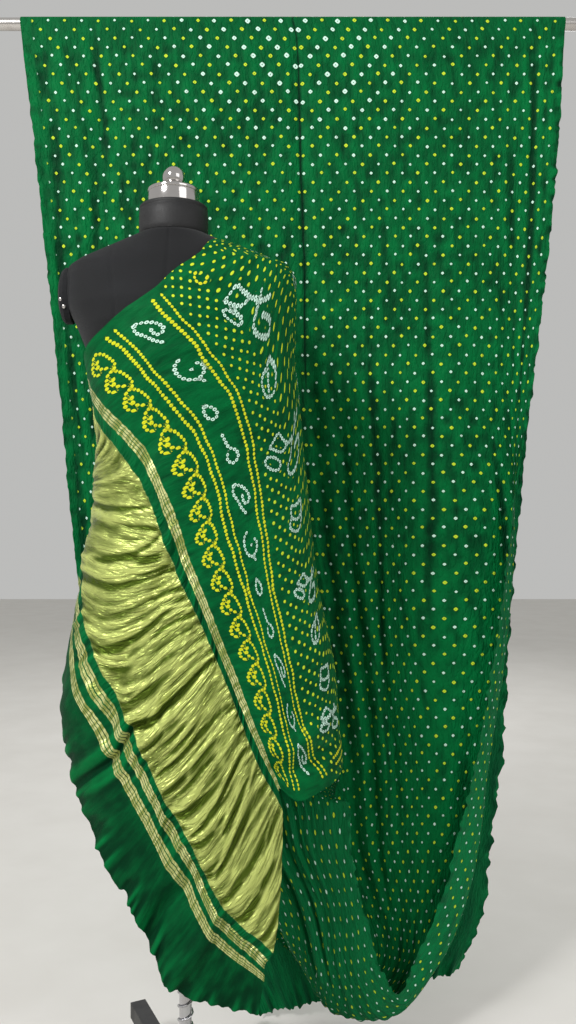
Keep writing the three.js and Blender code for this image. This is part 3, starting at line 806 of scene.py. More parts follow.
class Border:
    """The chains of ties on the draped end: curls, dotted lines, and white motifs."""

    CURLS_AT = 415.0
    CURLS_FROM = 54.0
    CURL_PITCH = 56.0
    LINES_AT = (452.5, 467.0, 533.5, 548.0)
    FIELD_END = (1010.0, 1024.0)
    SELVAGE = (1080.0, 1094.0)
    MARGIN = 20.0
    KNOTS = 14.0
    SELVAGE_FROM = 590.0
    BETWEEN_SCALE = (0.90, 0.80)
    TICK_AT = (52.0, 640.0)
    TICK_SCALE = 0.9
    LEAST_SEEN = 0.45  # the least share of its size that a motif is taken to show

    def chains(self, path: ClothPath) -> list[Chain]:
        """Lists every chain, by width and length."""
        return [*self._lines(), *self._curls(), *self._between(), *self._over(path)]

    def _lines(self) -> list[Chain]:
        """The dotted lines across the cloth, and the pair along its lower selvage.

        Returns:
            The chains.
        """
        found = []
        for at in (*self.LINES_AT, *self.FIELD_END):
            widths = np.arange(self.MARGIN, CLOTH_WIDTH - 10, self.KNOTS)
            sway = 2.6 * ripple(widths / 30, np.full(len(widths), at / 7), 71)
            found.append(Chain(tuple(zip(widths, at + sway)), False))
        for width in self.SELVAGE:
            lengths = np.arange(self.SELVAGE_FROM, self.FIELD_END[0], self.KNOTS)
            sway = 1.6 * ripple(lengths / 60, np.full(len(lengths), width / 7), 72)
            found.append(Chain(tuple(zip(width + sway, lengths)), False))
        return found

    def _curls(self) -> list[Chain]:
        """The running row of curls.

        Returns:
            The chains.
        """
        found = []
        for width in np.arange(self.CURLS_FROM, CLOTH_WIDTH - 30, self.CURL_PITCH):
            for line in CURL:
                found.append(Chain(tuple((width + u, self.CURLS_AT + v) for u, v in line), False))
        return found

    def _between(self) -> list[Chain]:
        """The row of white motifs between the lines.

        Returns:
            The chains.
        """
        across, along = self.BETWEEN_SCALE
        row = (
            (80, 500, LEAF), (190, 508, HOOK), (285, 494, DROP), (375, 502, CANE), (482, 500, LEAF),
            (582, 502, HOOK), (668, 500, DROP), (752, 502, CANE), (852, 500, LEAF), (950, 502, HOOK),
            (1044, 500, LEAF),
        )
        return [
            Chain(tuple((width + across * u, length + along * v) for u, v in line), True)
            for width, length, motif in row
            for line in motif
        ]

    def _over(self, path: ClothPath) -> list[Chain]:
        """Flowers, sprigs and small marks over the field, drawn upright as they hang.

        Args:
            path: The cloth's path.

        Returns:
            The chains.
        """
        over = (
            (172, 658, FLOWER, 1.02), (305, 636, SPRIG, 0.9), (456, 634, FLOWER, 0.85),
            (590, 632, RUNG, 0.8), (740, 640, FLOWER, 0.6), (830, 640, SPRIG, 0.7), (930, 640, RUNG, 0.7),
            (1010, 630, FLOWER, 0.5), (120, 830, FLOWER, 0.9), (300, 770, SPRIG, 0.9),
            (470, 790, FLOWER, 0.8), (640, 800, SPRIG, 0.8), (800, 820, FLOWER, 0.8),
            (950, 850, SPRIG, 0.8), (250, 910, FLOWER, 0.9), (560, 930, FLOWER, 0.8),
        )
        found = []
        for width, length, motif, size in over:
            undo = self._upright(path, width, length)
            for line in motif:
                flat = np.array(line, float) @ undo.T * size + (width, length)
                found.append(Chain(tuple(map(tuple, flat)), True))
        width, length = self.TICK_AT
        tick = tuple((width + self.TICK_SCALE * u, length + self.TICK_SCALE * v) for u, v in TICK)
        return [*found, Chain(tick, False)]

    def _upright(self, path: ClothPath, width: float, length: float) -> Array:
        """Finds how a motif is drawn on the cloth to look upright and full from the front.

        Args:
            path: The cloth's path.
            width: The motif's distance from the cloth's left edge.
            length: Its distance from the hem on the form.

        Returns:
            A 2 by 2 matrix from picture offsets to cloth offsets.
        """
        by = 8.0
        rows = path.rows_at(np.array([length - by, length, length + by]))
        spots = path.places(rows, np.array([width - by, width, width + by]))
        by_width, by_length = (spots[1, 2] - spots[1, 0]) / (2 * by), (spots[2, 1] - spots[0, 1]) / (2 * by)
        seen = np.array([[by_width[0], by_length[0]], [by_width[2], by_length[2]]])
        left, sizes, right = np.linalg.svd(seen)
        return right.T @ np.diag(1 / np.maximum(sizes, self.LEAST_SEEN)) @ left.T


RING_PITCH = 8.6  # from one tie of a chain to the next
CHAIN_CELL = 3.0  # the straight pieces that a chain is measured by
TIE_SHIFT = 3.0  # how far chance moves a tie of the field, from one side to the other
FAR_OFF = 40.0  # what stands for no chain near


@dataclass
class ChainField:
    """For each point of a grid: the nearest chain's run, side distance and dye, and how far off it is."""

    run: Array
    side: Array
    off: Array
    white: Array
    reach: float = 14.0

    @classmethod
    def over(cls, widths: Array, lengths: Array, chains: list[Chain]) -> "ChainField":
        """Measures the chains over a grid of widths and lengths.

        Args:
            widths: Distances from the cloth's left edge.
            lengths: Distances from the hem on the form.
            chains: The chains.

        Returns:
            The measures.
        """
        shape = (len(lengths), len(widths))
        found = cls(np.zeros(shape), np.full(shape, FAR_OFF), np.full(shape, FAR_OFF), np.zeros(shape))
        for chain in chains:
            found._add(widths, lengths, chain)
        return found

    def _add(self, widths: Array, lengths: Array, chain: Chain) -> None:
        """Notes a chain wherever it is nearer than those before it, with whole rings from end to end.

        Args:
            widths: The grid's widths, rising.
            lengths: The grid's lengths, rising.
            chain: The chain.
        """
        near = NearLine(widths, lengths, chain.points, self.reach, CHAIN_CELL, 2)
        pieces = np.linalg.norm(np.diff(near.points, axis=0), axis=1)
        runs = np.concatenate([[0.0], np.cumsum(pieces)])
        fit = max(1, round(runs[-1] / RING_PITCH)) * RING_PITCH / runs[-1]
        run = np.interp(near.steps, np.arange(len(runs)), runs) * fit
        nearer = near.off < self.off[near.window]
        for kept, new in ((self.run, run), (self.side, near.side), (self.white, float(chain.white)),
                          (self.off, near.off)):
            kept[near.window] = np.where(nearer, new, kept[near.window])


# Meshes


def grid_faces(rows: int, columns: int, closed: bool = False) -> Array:
    """Gives the four-sided faces of a grid of points.

    Args:
        rows: How many points along.
        columns: How many points across.
        closed: Whether the last column joins the first.

    Returns:
        Four point numbers for each face, which faces along the first axis crossed with the second.
    """
    spans = columns if closed else columns - 1
    row, column = np.meshgrid(np.arange(rows - 1), np.arange(spans), indexing="ij")
    after = (column + 1) % columns
    here, above = row * columns, (row + 1) * columns
    return np.stack([here + column, here + after, above + after, above + column], -1).reshape(-1, 4)


def piece_of(name: str, points: Array, quads: Array, caps: tuple[tuple[int, ...], ...] = ()
             ) -> bpy.types.Object:
    """Makes a smooth-shaded object.

    Args:
        name: The piece's name.
        points: Its points in millimetres.
        quads: Its four-sided faces.
        caps: Further faces of any number of sides.

    Returns:
        The object, linked to the scene.
    """
    mesh = bpy.data.meshes.new(name)
    if caps:
        mesh.from_pydata((points.reshape(-1, 3) * MM).tolist(), [], [*quads.tolist(), *map(list, caps)])
    else:
        mesh.vertices.add(points.size // 3)
        mesh.vertices.foreach_set("co", (points.reshape(-1) * MM).astype(np.float32))
        mesh.loops.add(quads.size)
        mesh.loops.foreach_set("vertex_index", quads.reshape(-1).astype(np.int32))
        mesh.polygons.add(len(quads))
        mesh.polygons.foreach_set("loop_start", np.arange(0, quads.size, 4, dtype=np.int32))
        mesh.update(calc_edges=True)
    mesh.polygons.foreach_set("use_smooth", np.ones(len(mesh.polygons), bool))
    mesh.update()
    made = bpy.data.objects.new(name, mesh)
    bpy.context.scene.collection.objects.link(made)
    return made


def turned(name: str, profile: Points, sides: int, centre: Place, flat: float = 1.0,
           lean: Array | None = None) -> bpy.types.Object:
    """Makes a piece turned round an axis.

    Args:
        name: The piece's name.
        profile: Radius and height of each ring, from the foot to the top.
        sides: How many points each ring has.
        centre: Where the axis meets height 0, in millimetres.
        flat: Depth as a share of the width.
        lean: Turns the piece off the upright, as a 3 by 3 matrix.

    Returns:
        The object.
    """
    angle = np.linspace(0, 2 * np.pi, sides, endpoint=False)
    rings = np.array([
        np.stack([r * np.cos(angle), flat * r * np.sin(angle), np.full(sides, z)], -1) for r, z in profile
    ])
    if lean is not None:
        rings = rings @ lean.T
    rings = rings + np.array(centre)
    last = (len(profile) - 1) * sides
    caps = (tuple(range(sides - 1, -1, -1)), tuple(range(last, last + sides)))
    return piece_of(name, rings, grid_faces(len(profile), sides, closed=True), caps)


def rounded(radius: float, low: float, high: float, edge: float, steps: int = 5) -> Points:
    """Gives a drum's profile with rounded edges, from its foot to its top.

    Args:
        radius: The drum's radius.
        low: The height of its foot.
        high: The height of its top.
        edge: The edges' radius.
        steps: How many points each edge has.

    Returns:
        The profile, from its foot to its top.
    """
    turn = np.linspace(0, np.pi / 2, steps)
    foot = [(radius - edge + edge * math.sin(t), low + edge - edge * math.cos(t)) for t in turn]
    top = [(radius - edge + edge * math.cos(t), high - edge + edge * math.sin(t)) for t in turn]
    return (*foot, *top)


def dress(piece: bpy.types.Object, material: bpy.types.Material) -> None:
    """Gives a piece its material in every slot.

    Args:
        piece: The piece.
        material: The material.
    """
    if not piece.data.materials:
        piece.data.materials.append(material)
    for slot in piece.material_slots:
        slot.material = material


def smooth_node(name: str, material: bpy.types.Material, edge: float = 0.0) -> None:
    """Dresses a carried-over node: smooth shading, and bevelled edges where a size is given.

    Args:
        name: The node's name.
        material: The material.
        edge: The bevel's width in millimetres, or 0 for none.
    """
    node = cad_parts[name]
    dress(node, material)
    node.data.polygons.foreach_set("use_smooth", np.ones(len(node.data.polygons), bool))
    if edge:
        bevel = node.modifiers.new("edge", "BEVEL")
        bevel.width = edge * MM
        bevel.segments = 2
        bevel.limit_method = "ANGLE"
        bevel.angle_limit = math.radians(40)
        bevel.harden_normals = True
    else:
        node.data.set_sharp_from_angle(angle=math.radians(40))


def ride(piece: bpy.types.Object, slot: str, *nodes: str) -> bpy.types.Object:
    """Makes a piece ride on the part's one body, and hides the nodes that it stands for.

    Args:
        piece: The piece.
        slot: Not used.
        *nodes: The nodes that the piece replaces.

    Returns:
        The same piece.
    """
    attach(piece, "root")
    if nodes:
        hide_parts(*nodes)
    log.info("%s: %d points", piece.name, len(piece.data.vertices))
    return piece


# Materials


class Kind(Enum):
    """What a node group's socket carries."""

    NUMBER = "NodeSocketFloat"
    PLACE = "NodeSocketVector"


class Graph:
    """A node tree that is built a node at a time."""

    def __init__(self, tree: bpy.types.NodeTree) -> None:
        """Starts on an empty tree."""
        self.tree = tree

    def node(self, kind: str, fed: dict[int | str, object] | None = None, **settings: object
             ) -> bpy.types.Node:
        """Adds a node.

        Args:
            kind: The node's type.
            fed: What each input, by number or name, is linked or set to.
            **settings: The node's properties.

        Returns:
            The node.
        """
        made = self.tree.nodes.new(kind)
        for name, value in settings.items():
            setattr(made, name, value)
        for key, value in (fed or {}).items():
            self.feed(made.inputs[key], value)
        return made

    def feed(self, socket: Socket, value: object) -> None:
        """Links or sets an input.

        Args:
            socket: The input.
            value: An output to link, or a number, vector or colour to set.
        """
        if isinstance(value, bpy.types.NodeSocket):
            self.tree.links.new(value, socket)
        else:
            socket.default_value = value

    def math(self, operation: str, *values: object) -> Socket:
        """Adds a sum on numbers."""
        return self.node("ShaderNodeMath", dict(enumerate(values)), operation=operation).outputs[0]

    def add(self, first: object, second: object) -> Socket:
        """Adds two numbers."""
        return self.math("ADD", first, second)

    def take(self, first: object, second: object) -> Socket:
        """Takes the second number from the first."""
        return self.math("SUBTRACT", first, second)

    def times(self, first: object, second: object) -> Socket:
        """Multiplies two numbers."""
        return self.math("MULTIPLY", first, second)

    def share(self, first: object, second: object) -> Socket:
        """Divides the first number by the second."""
        return self.math("DIVIDE", first, second)

    def size(self, value: object) -> Socket:
        """Drops a number's sign."""
        return self.math("ABSOLUTE", value)

    def middled(self, value: object) -> Socket:
        """Moves a number from 0 to 1 so that it lies about 0."""
        return self.take(value, 0.5)

    def rise(self, value: object, low: float, high: float) -> Socket:
        """Rises smoothly from 0 at low to 1 at high, or falls where low is the greater."""
        ends = {0: value, 1: min(low, high), 2: max(low, high), 3: float(low > high), 4: float(low < high)}
        return self.node("ShaderNodeMapRange", ends, interpolation_type="SMOOTHSTEP").outputs[0]

    def between(self, value: object, low: float, high: float, edge: float) -> Socket:
        """Is 1 from low to high, with soft edges."""
        until = self.rise(value, high + edge, high - edge)
        return self.times(self.rise(value, low - edge, low + edge), until)

    def tint(self, share: object, first: object, second: object) -> Socket:
        """Mixes two colours."""
        return self.node("ShaderNodeMix", {0: share, 6: first, 7: second}, data_type="RGBA").outputs[2]

    def mix(self, share: object, first: object, second: object) -> Socket:
        """Mixes two numbers."""
        return self.node("ShaderNodeMix", {0: share, 2: first, 3: second}, data_type="FLOAT").outputs[0]

    def split(self, vector: Socket) -> tuple[Socket, ...]:
        """Takes a vector apart."""
        return tuple(self.node("ShaderNodeSeparateXYZ", {0: vector}).outputs)

    def join(self, x: object, y: object, z: object = 0.0) -> Socket:
        """Makes a vector of three numbers."""
        return self.node("ShaderNodeCombineXYZ", {0: x, 1: y, 2: z}).outputs[0]

    def scaled(self, vector: object, scale: tuple[float, float, float]) -> Socket:
        """Scales a vector."""
        return self.node("ShaderNodeVectorMath", {0: vector, 1: scale}, operation="MULTIPLY").outputs[0]

    def noise(self, vector: object, scale: float, detail: float = 2.0, rough: float = 0.5) -> Socket:
        """Adds noise from 0 to 1."""
        fed = {"Vector": vector, "Scale": scale, "Detail": detail, "Roughness": rough}
        return self.node("ShaderNodeTexNoise", fed).outputs["Fac"]

    def streaks(self, vector: object, across: float, along: float, detail: float = 2.0, rough: float = 0.5
                ) -> Socket:
        """Adds noise that is drawn out, by the cells in a millimetre each way."""
        return self.noise(self.scaled(vector, (across, along, 0.0)), 1.0, detail, rough)

    def held(self, name: str) -> bpy.types.Node:
        """Reads what a mesh keeps at its points."""
        return self.node("ShaderNodeAttribute", attribute_name=name, attribute_type="GEOMETRY")

    def here(self) -> Socket:
        """Reads the place on the object, in metres."""
        return self.node("ShaderNodeTexCoord").outputs["Object"]

    def effect(self, tree: bpy.types.NodeTree, **inputs: object) -> bpy.types.Node:
        """Places a node group, its inputs named with _ for spaces."""
        fed = {name.replace("_", " "): value for name, value in inputs.items()}
        return self.node("ShaderNodeGroup", fed, node_tree=tree)


class Effects:
    """The node groups that the materials share, each made once."""

    def __init__(self) -> None:
        """Builds every group."""
        self.ring = self._tie_ring()
        self.lattice = self._tie_lattice()
        self.weave = self._weave()
        self.wear = self._wear()
        self.grain = self._grain()

    @staticmethod
    def _start(name: str, inputs: str, outputs: str) -> tuple[Graph, Sockets, Sockets]:
        """Starts a group.

        Args:
            name: The group's name.
            inputs: The names of its inputs, with commas between them.
            outputs: The names of its outputs, with commas between them.

        Returns:
            Its graph, its input node's outputs and its output node's inputs.
        """
        tree = bpy.data.node_groups.new(name, "ShaderNodeTree")
        for way, labels in (("INPUT", inputs), ("OUTPUT", outputs)):
            for label in labels.split(", "):
                kind = Kind.PLACE if label == "Place" else Kind.NUMBER
                tree.interface.new_socket(name=label, in_out=way, socket_type=kind.value)
        graph = Graph(tree)
        return graph, graph.node("NodeGroupInput").outputs, graph.node("NodeGroupOutput").inputs

    def _tie_ring(self) -> bpy.types.NodeTree:
        """One tie: a ring of lighter dye round an eye that stayed dark, and the point that it left.

        Returns:
            The group.
        """
        inputs = "Across, Along, Radius, Eye, Roundness"
        graph, given, out = self._start("tie_ring", inputs, "Dye, Eye, Point")
        power = given["Roundness"]
        x = graph.math("POWER", graph.size(given["Across"]), power)
        y = graph.math("POWER", graph.size(given["Along"]), power)
        off = graph.math("POWER", graph.add(x, y), graph.share(1.0, power))
        past = graph.take(off, given["Radius"])
        graph.feed(out["Dye"], graph.rise(past, 0.45, -0.55))
        graph.feed(out["Eye"], graph.rise(graph.take(off, given["Eye"]), 0.5, -0.5))
        graph.feed(out["Point"], graph.rise(past, 4.5, -3.2))
        return graph.tree

    def _tie_lattice(self) -> bpy.types.NodeTree:
        """The field of ties: where the nearest one is, which dye it has, and a chance number of its own.

        Returns:
            The group.
        """
        graph, given, out = self._start(
            "tie_lattice", "Place, Half Pitch Across, Half Pitch Along, Middle, Gap",
            "Across, Along, White, Column, Chance",
        )
        width, length, _ = graph.split(given["Place"])
        across, along = given["Half Pitch Across"], given["Half Pitch Along"]
        off = graph.take(width, given["Middle"])
        aside = graph.take(graph.size(off), given["Gap"])
        one = graph.share(aside, graph.times(across, 2.0))
        other = graph.share(length, graph.times(along, 2.0))
        down, up = graph.take(one, other), graph.add(one, other)
        cell_down, cell_up = graph.math("ROUND", down), graph.math("ROUND", up)
        by_down, by_up = graph.take(down, cell_down), graph.take(up, cell_up)
        cell = graph.join(cell_down, cell_up, graph.math("SIGN", off))
        chance = graph.node("ShaderNodeTexWhiteNoise", {"Vector": cell}, noise_dimensions="3D")
        shift_x, shift_y, third = graph.split(chance.outputs["Color"])
        x = graph.times(graph.add(by_down, by_up), across)
        y = graph.times(graph.take(by_up, by_down), along)
        graph.feed(out["Across"], graph.add(x, graph.times(graph.middled(shift_x), TIE_SHIFT)))
        graph.feed(out["Along"], graph.add(y, graph.times(graph.middled(shift_y), TIE_SHIFT)))
        graph.feed(out["White"], graph.math("FLOORED_MODULO", cell_down, 2.0))
        pair = graph.math("FLOOR", graph.times(graph.add(graph.add(cell_down, cell_up), 0.5), 0.5))
        graph.feed(out["Column"], graph.math("FLOORED_MODULO", pair, 2.0))
        graph.feed(out["Chance"], third)
        return graph.tree

    def _weave(self) -> bpy.types.NodeTree:
        """Crossing threads: their height, and a mask that is 1 on the threads that run across.

        Returns:
            The group.
        """
        graph, given, out = self._start("thread_weave", "Place, Pitch, Slub", "Height, Thread")
        width, length, _ = graph.split(given["Place"])
        uneven = graph.times(graph.middled(graph.noise(given["Place"], 0.35)), given["Slub"])
        turn = graph.share(2 * math.pi, given["Pitch"])
        warp = graph.math("SINE", graph.times(graph.add(width, uneven), turn))
        weft = graph.math("SINE", graph.times(graph.add(length, uneven), turn))
        graph.feed(out["Height"], graph.add(graph.size(warp), graph.size(weft)))
        graph.feed(out["Thread"], graph.rise(graph.take(warp, weft), -0.3, 0.3))
        return graph.tree

    def _wear(self) -> bpy.types.NodeTree:
        """Hairline scratches and smudges on metal and paint.

        Returns:
            The group.
        """
        graph, given, out = self._start("handled_wear", "Place, Scale", "Scratch, Smudge")
        x, y, z = (graph.times(part, given["Scale"]) for part in graph.split(given["Place"]))
        drawn = graph.join(graph.times(x, 6.0), y, z)
        graph.feed(out["Scratch"], graph.rise(graph.noise(drawn, 40.0, 4.0, 0.7), 0.60, 0.68))
        graph.feed(out["Smudge"], graph.rise(graph.noise(given["Place"], 14.0, 3.0, 0.6), 0.42, 0.66))
        return graph.tree

    def _grain(self) -> bpy.types.NodeTree:
        """An uneven surface: fine bumps, and patches that are a little lighter.

        Returns:
            The group.
        """
        graph, given, out = self._start("fine_grain", "Place, Size", "Height, Patch")
        fed = {0: given["Place"], "Scale": graph.share(1.0, given["Size"])}
        place = graph.node("ShaderNodeVectorMath", fed, operation="SCALE").outputs[0]
        graph.feed(out["Height"], graph.noise(place, 1.0, 3.0, 0.6))
        graph.feed(out["Patch"], graph.noise(place, 0.05, 3.0, 0.55))
        return graph.tree


def colour(*screen: int) -> tuple[float, ...]:
    """Turns a screen colour, 0 to 255, into a linear one."""
    shares = [part / 255 for part in screen]
    return (*(s / 12.92 if s <= 0.04045 else ((s + 0.055) / 1.055) ** 2.4 for s in shares), 1.0)


@dataclass(frozen=True)
class Finish:
    """A material with its fixed values. Each kind paints itself onto the shader."""

    name: str
    roughness: float = 0.5
    metallic: float = 0.0
    sheen: float = 0.0
    sheen_roughness: float = 0.5
    specular: float = 0.5

    def make(self, effects: Effects) -> bpy.types.Material:
        """Builds the material.

        Args:
            effects: The shared node groups.

        Returns:
            The material.
        """
        material = bpy.data.materials.new(self.name)
        material.use_nodes = True
        graph = Graph(material.node_tree)
        shader = material.node_tree.nodes["Principled BSDF"]
        for label, value in (
            ("Roughness", self.roughness),
            ("Metallic", self.metallic),
            ("Sheen Weight", self.sheen),
            ("Sheen Roughness", self.sheen_roughness),
            ("Specular IOR Level", self.specular),
        ):
            shader.inputs[label].default_value = value
        self.paint(graph, shader, effects)
        return material

    def paint(self, graph: Graph, shader: bpy.types.Node, effects: Effects) -> None:
        """Links colours, roughness and bumps to the shader."""
        raise NotImplementedError

    @staticmethod
    def coat(graph: Graph, shader: bpy.types.Node, tone: Socket, rough: object, height: Socket,
             depth: float = 1.0) -> None:
        """Feeds the shader's colour, roughness and normal.

        Args:
            graph: The material's nodes.
            shader: Its Principled BSDF.
            tone: The colour.
            rough: The roughness.
            height: The height of the bumps.
            depth: How many millimetres a height of 1 stands for.
        """
        graph.feed(shader.inputs["Base Color"], tone)
        graph.feed(shader.inputs["Roughness"], rough)
        made = graph.node("ShaderNodeBump", {"Strength": 1.0, "Distance": depth * MM, "Height": height})
        graph.feed(shader.inputs["Normal"], made.outputs["Normal"])


@dataclass(frozen=True)
class SariDye(Finish):
    """The sari: green tie-dye with white and yellow ties, a gold tissue band and gold thread lines.

    The ranges and places are lengths from the hem on the form, in millimetres.
    """

    roughness: float = 0.58
    sheen: float = 0.01
    sheen_roughness: float = 0.4
    specular: float = 0.06
    # lit and deep: the green ground lit and in shade, mixed by the relief as painted highlight and shade;
    # deep is also the dark dye of the ties' eyes
    lit: tuple = colour(0, 112, 56)
    deep: tuple = colour(0, 52, 27)
    # dark: the darkest green, for the painted shade line along the middle fold, the rings round the ties and
    # the cross threads
    dark: tuple = colour(0, 34, 18)
    wrong: tuple = colour(34, 142, 92)
    lime: tuple = colour(206, 232, 56)
    yellow: tuple = colour(220, 230, 44)
    orange: tuple = colour(238, 176, 16)
    white: tuple = colour(218, 254, 236)
    # The lit and the shaded gold: painted highlight and shade over the tissue's creases
    gold_lit: tuple = colour(212, 224, 128)
    gold_shaded: tuple = colour(80, 98, 30)
    gold_fibre: tuple = colour(96, 120, 50)
    # The lit and the shaded thread: painted glints along the gold threads
    thread_lit: tuple = colour(224, 226, 156)
    thread_shaded: tuple = colour(150, 160, 84)
    far_ties: tuple = (1050.0, 5000.0)
    near_ties: tuple = (560.0, 1004.0)
    striped_ties: tuple = (1250.0, 1790.0)
    top_ties: tuple = (3560.0, 3980.0)
    middle_fold_shade: tuple = (3010.0, 3790.0)
    draped_until: float = 1000.0
    gold: tuple = (145.0, 345.0)
    zari: tuple = (100.0, 127.0, 370.0)
    zari_half: float = 8.0
    zari_pitch: float = 4.3
    thread_pitch: float = 0.55

    def paint(self, graph: Graph, shader: bpy.types.Node, effects: Effects) -> None:
        """Dyes the cloth by its woven place, with painted light and shade on its wrinkles and folds.

        Args:
            graph: The material's nodes.
            shader: Its Principled BSDF.
            effects: The shared node groups.
        """
        place = graph.held("place").outputs["Vector"]
        relief = graph.held("relief").outputs["Fac"]
        width, length, _ = graph.split(place)
        dye = self._ground(graph, place, relief)
        back = graph.node("ShaderNodeNewGeometry").outputs["Backfacing"]
        dye = graph.tint(graph.times(back, 0.22), dye, self.wrong)
        dye, far = self._far_ties(graph, effects, place, dye)
        dye, near = self._near_ties(graph, effects, place, dye)
        dye, tied = self._chains(graph, effects, dye)
        metal, dye = self._gold(graph, place, relief, dye)
        weave = graph.effect(effects.weave, Place=place, Pitch=self.thread_pitch, Slub=0.8)
        dye = graph.tint(graph.times(weave.outputs["Thread"], 0.10), dye, self.dark)
        graph.feed(shader.inputs["Metallic"], graph.times(metal, 0.55))
        soft = graph.add(graph.times(graph.noise(place, 0.02), 0.16), self.roughness - 0.08)
        points = graph.add(graph.add(far, near), tied)
        height = graph.add(graph.times(points, 0.9), self._crinkle(graph, place))
        height = graph.add(height, graph.times(weave.outputs["Height"], 0.02))
        self.coat(graph, shader, dye, graph.mix(metal, soft, 0.36), height)

    def _ground(self, graph: Graph, place: Socket, relief: Socket) -> Socket:
        """The green ground, uneven in tone, with painted light and shade on its wrinkles, the near fall and
        the middle fold, darker near the hem.

        Args:
            graph: The material's nodes.
            place: The woven place.
            relief: How far the cloth stands above that round it.

        Returns:
            The colour.
        """
        width, length, _ = graph.split(place)
        pool = graph.noise(place, 0.006, 4.0, 0.6)
        streak = graph.streaks(place, 0.09, 0.018, 3.0, 0.6)
        # Painted highlight and shade: the relief makes the ridges lighter and the hollows a deeper green.
        level = graph.add(graph.times(relief, 0.40), graph.times(graph.add(pool, streak), 0.62))
        # Painted light: the ground is lighter from about 1250 to 2500 mm from the hem, over the near fall,
        # the loop and the lower front panel.
        level = graph.add(level, graph.times(graph.between(length, 1250.0, 2500.0, 300.0), 0.22))
        level = graph.take(level, graph.times(graph.rise(length, 150.0, 60.0), 0.22))
        green = graph.tint(graph.rise(level, 0.16, 1.0), self.deep, self.lit)
        # Painted shade: a thin darker line along the middle fold, in its crease.
        sway = graph.times(graph.middled(graph.streaks(place, 0.0, 0.01)), 9.0)
        off = graph.size(graph.take(graph.add(width, sway), CLOTH_WIDTH / 2))
        fold = graph.times(graph.rise(off, 2.3, 0.5), graph.between(length, *self.middle_fold_shade, 30.0))
        return graph.tint(graph.times(fold, 0.8), green, self.dark)

    def _tied(self, graph: Graph, ring: bpy.types.Node, inside: Socket, halo: float, dye: Socket,
              tone: Socket) -> tuple[Socket, Socket]:
        """Dyes a tie, with a darker ring round it.

        Args:
            graph: The material's nodes.
            ring: The tie's ring.
            inside: Where such ties are.
            halo: How dark the ring round the tie is.
            dye: The colour under it.
            tone: The tie's own colour.

        Returns:
            The colour, and the point that the tie left.
        """
        point = graph.times(ring.outputs["Point"], inside)
        dyed = graph.tint(graph.times(point, halo), dye, self.dark)
        return graph.tint(graph.times(ring.outputs["Dye"], inside), dyed, tone), point

    def _far_ties(self, graph: Graph, effects: Effects, place: Socket, dye: Socket
                  ) -> tuple[Socket, Socket]:
        """The field of ties over most of the cloth, larger and whiter at the top of the front panel.

        Args:
            graph: The material's nodes.
            effects: The shared node groups.
            place: The woven place.
            dye: The colour under the ties.

        Returns:
            The colour, and the points that the ties left.
        """
        width, length, _ = graph.split(place)
        half = CLOTH_WIDTH / 2
        ties = graph.effect(
            effects.lattice, Place=place, Half_Pitch_Across=17.1, Half_Pitch_Along=18.6, Middle=half, Gap=6.7
        )
        aside = graph.size(graph.take(width, half))
        top = graph.times(graph.between(length, *self.top_ties, 130.0), graph.rise(aside, 340.0, 60.0))
        striped = graph.between(length, *self.striped_ties, 40.0)
        white = graph.mix(striped, ties.outputs["White"], ties.outputs["Column"])
        radius = graph.mix(white, graph.mix(top, 3.4, 4.0), graph.mix(top, 2.9, 5.1))
        radius = graph.times(radius, graph.add(0.86, graph.times(ties.outputs["Chance"], 0.26)))
        ring = graph.effect(
            effects.ring, Across=ties.outputs["Across"], Along=ties.outputs["Along"], Radius=radius,
            Eye=graph.times(radius, graph.mix(top, 0.16, 0.27)), Roundness=1.4,
        )
        between = graph.between(width, 24.0, CLOTH_WIDTH - 18.0, 2.0)
        inside = graph.times(graph.between(length, *self.far_ties, 4.0), between)
        tone = graph.tint(white, self.lime, self.white)
        dyed, point = self._tied(graph, ring, inside, 0.42, dye, tone)
        eye = graph.times(graph.times(ring.outputs["Eye"], inside), 0.8)
        return graph.tint(eye, dyed, self.deep), point

    def _near_ties(self, graph: Graph, effects: Effects, place: Socket, dye: Socket
                   ) -> tuple[Socket, Socket]:
        """Plain yellow ties in rows above the border's lines.

        Args:
            graph: The material's nodes.
            effects: The shared node groups.
            place: The woven place.
            dye: The colour under the ties.

        Returns:
            The colour, and the points that the ties left.
        """
        length = graph.split(place)[1]
        ties = graph.effect(
            effects.lattice, Place=place, Half_Pitch_Across=13.2, Half_Pitch_Along=13.2, Middle=0.0, Gap=0.0
        )
        ring = graph.effect(
            effects.ring, Across=ties.outputs["Across"], Along=ties.outputs["Along"],
            Radius=graph.add(2.8, graph.times(ties.outputs["Chance"], 0.9)), Eye=0.5, Roundness=2.0,
        )
        clear = graph.rise(graph.held("chain").outputs["Fac"], 5.5, 8.0)
        inside = graph.times(graph.between(length, *self.near_ties, 3.0), clear)
        tone = graph.tint(ties.outputs["Chance"], self.yellow, self.lime)
        return self._tied(graph, ring, inside, 0.35, dye, tone)

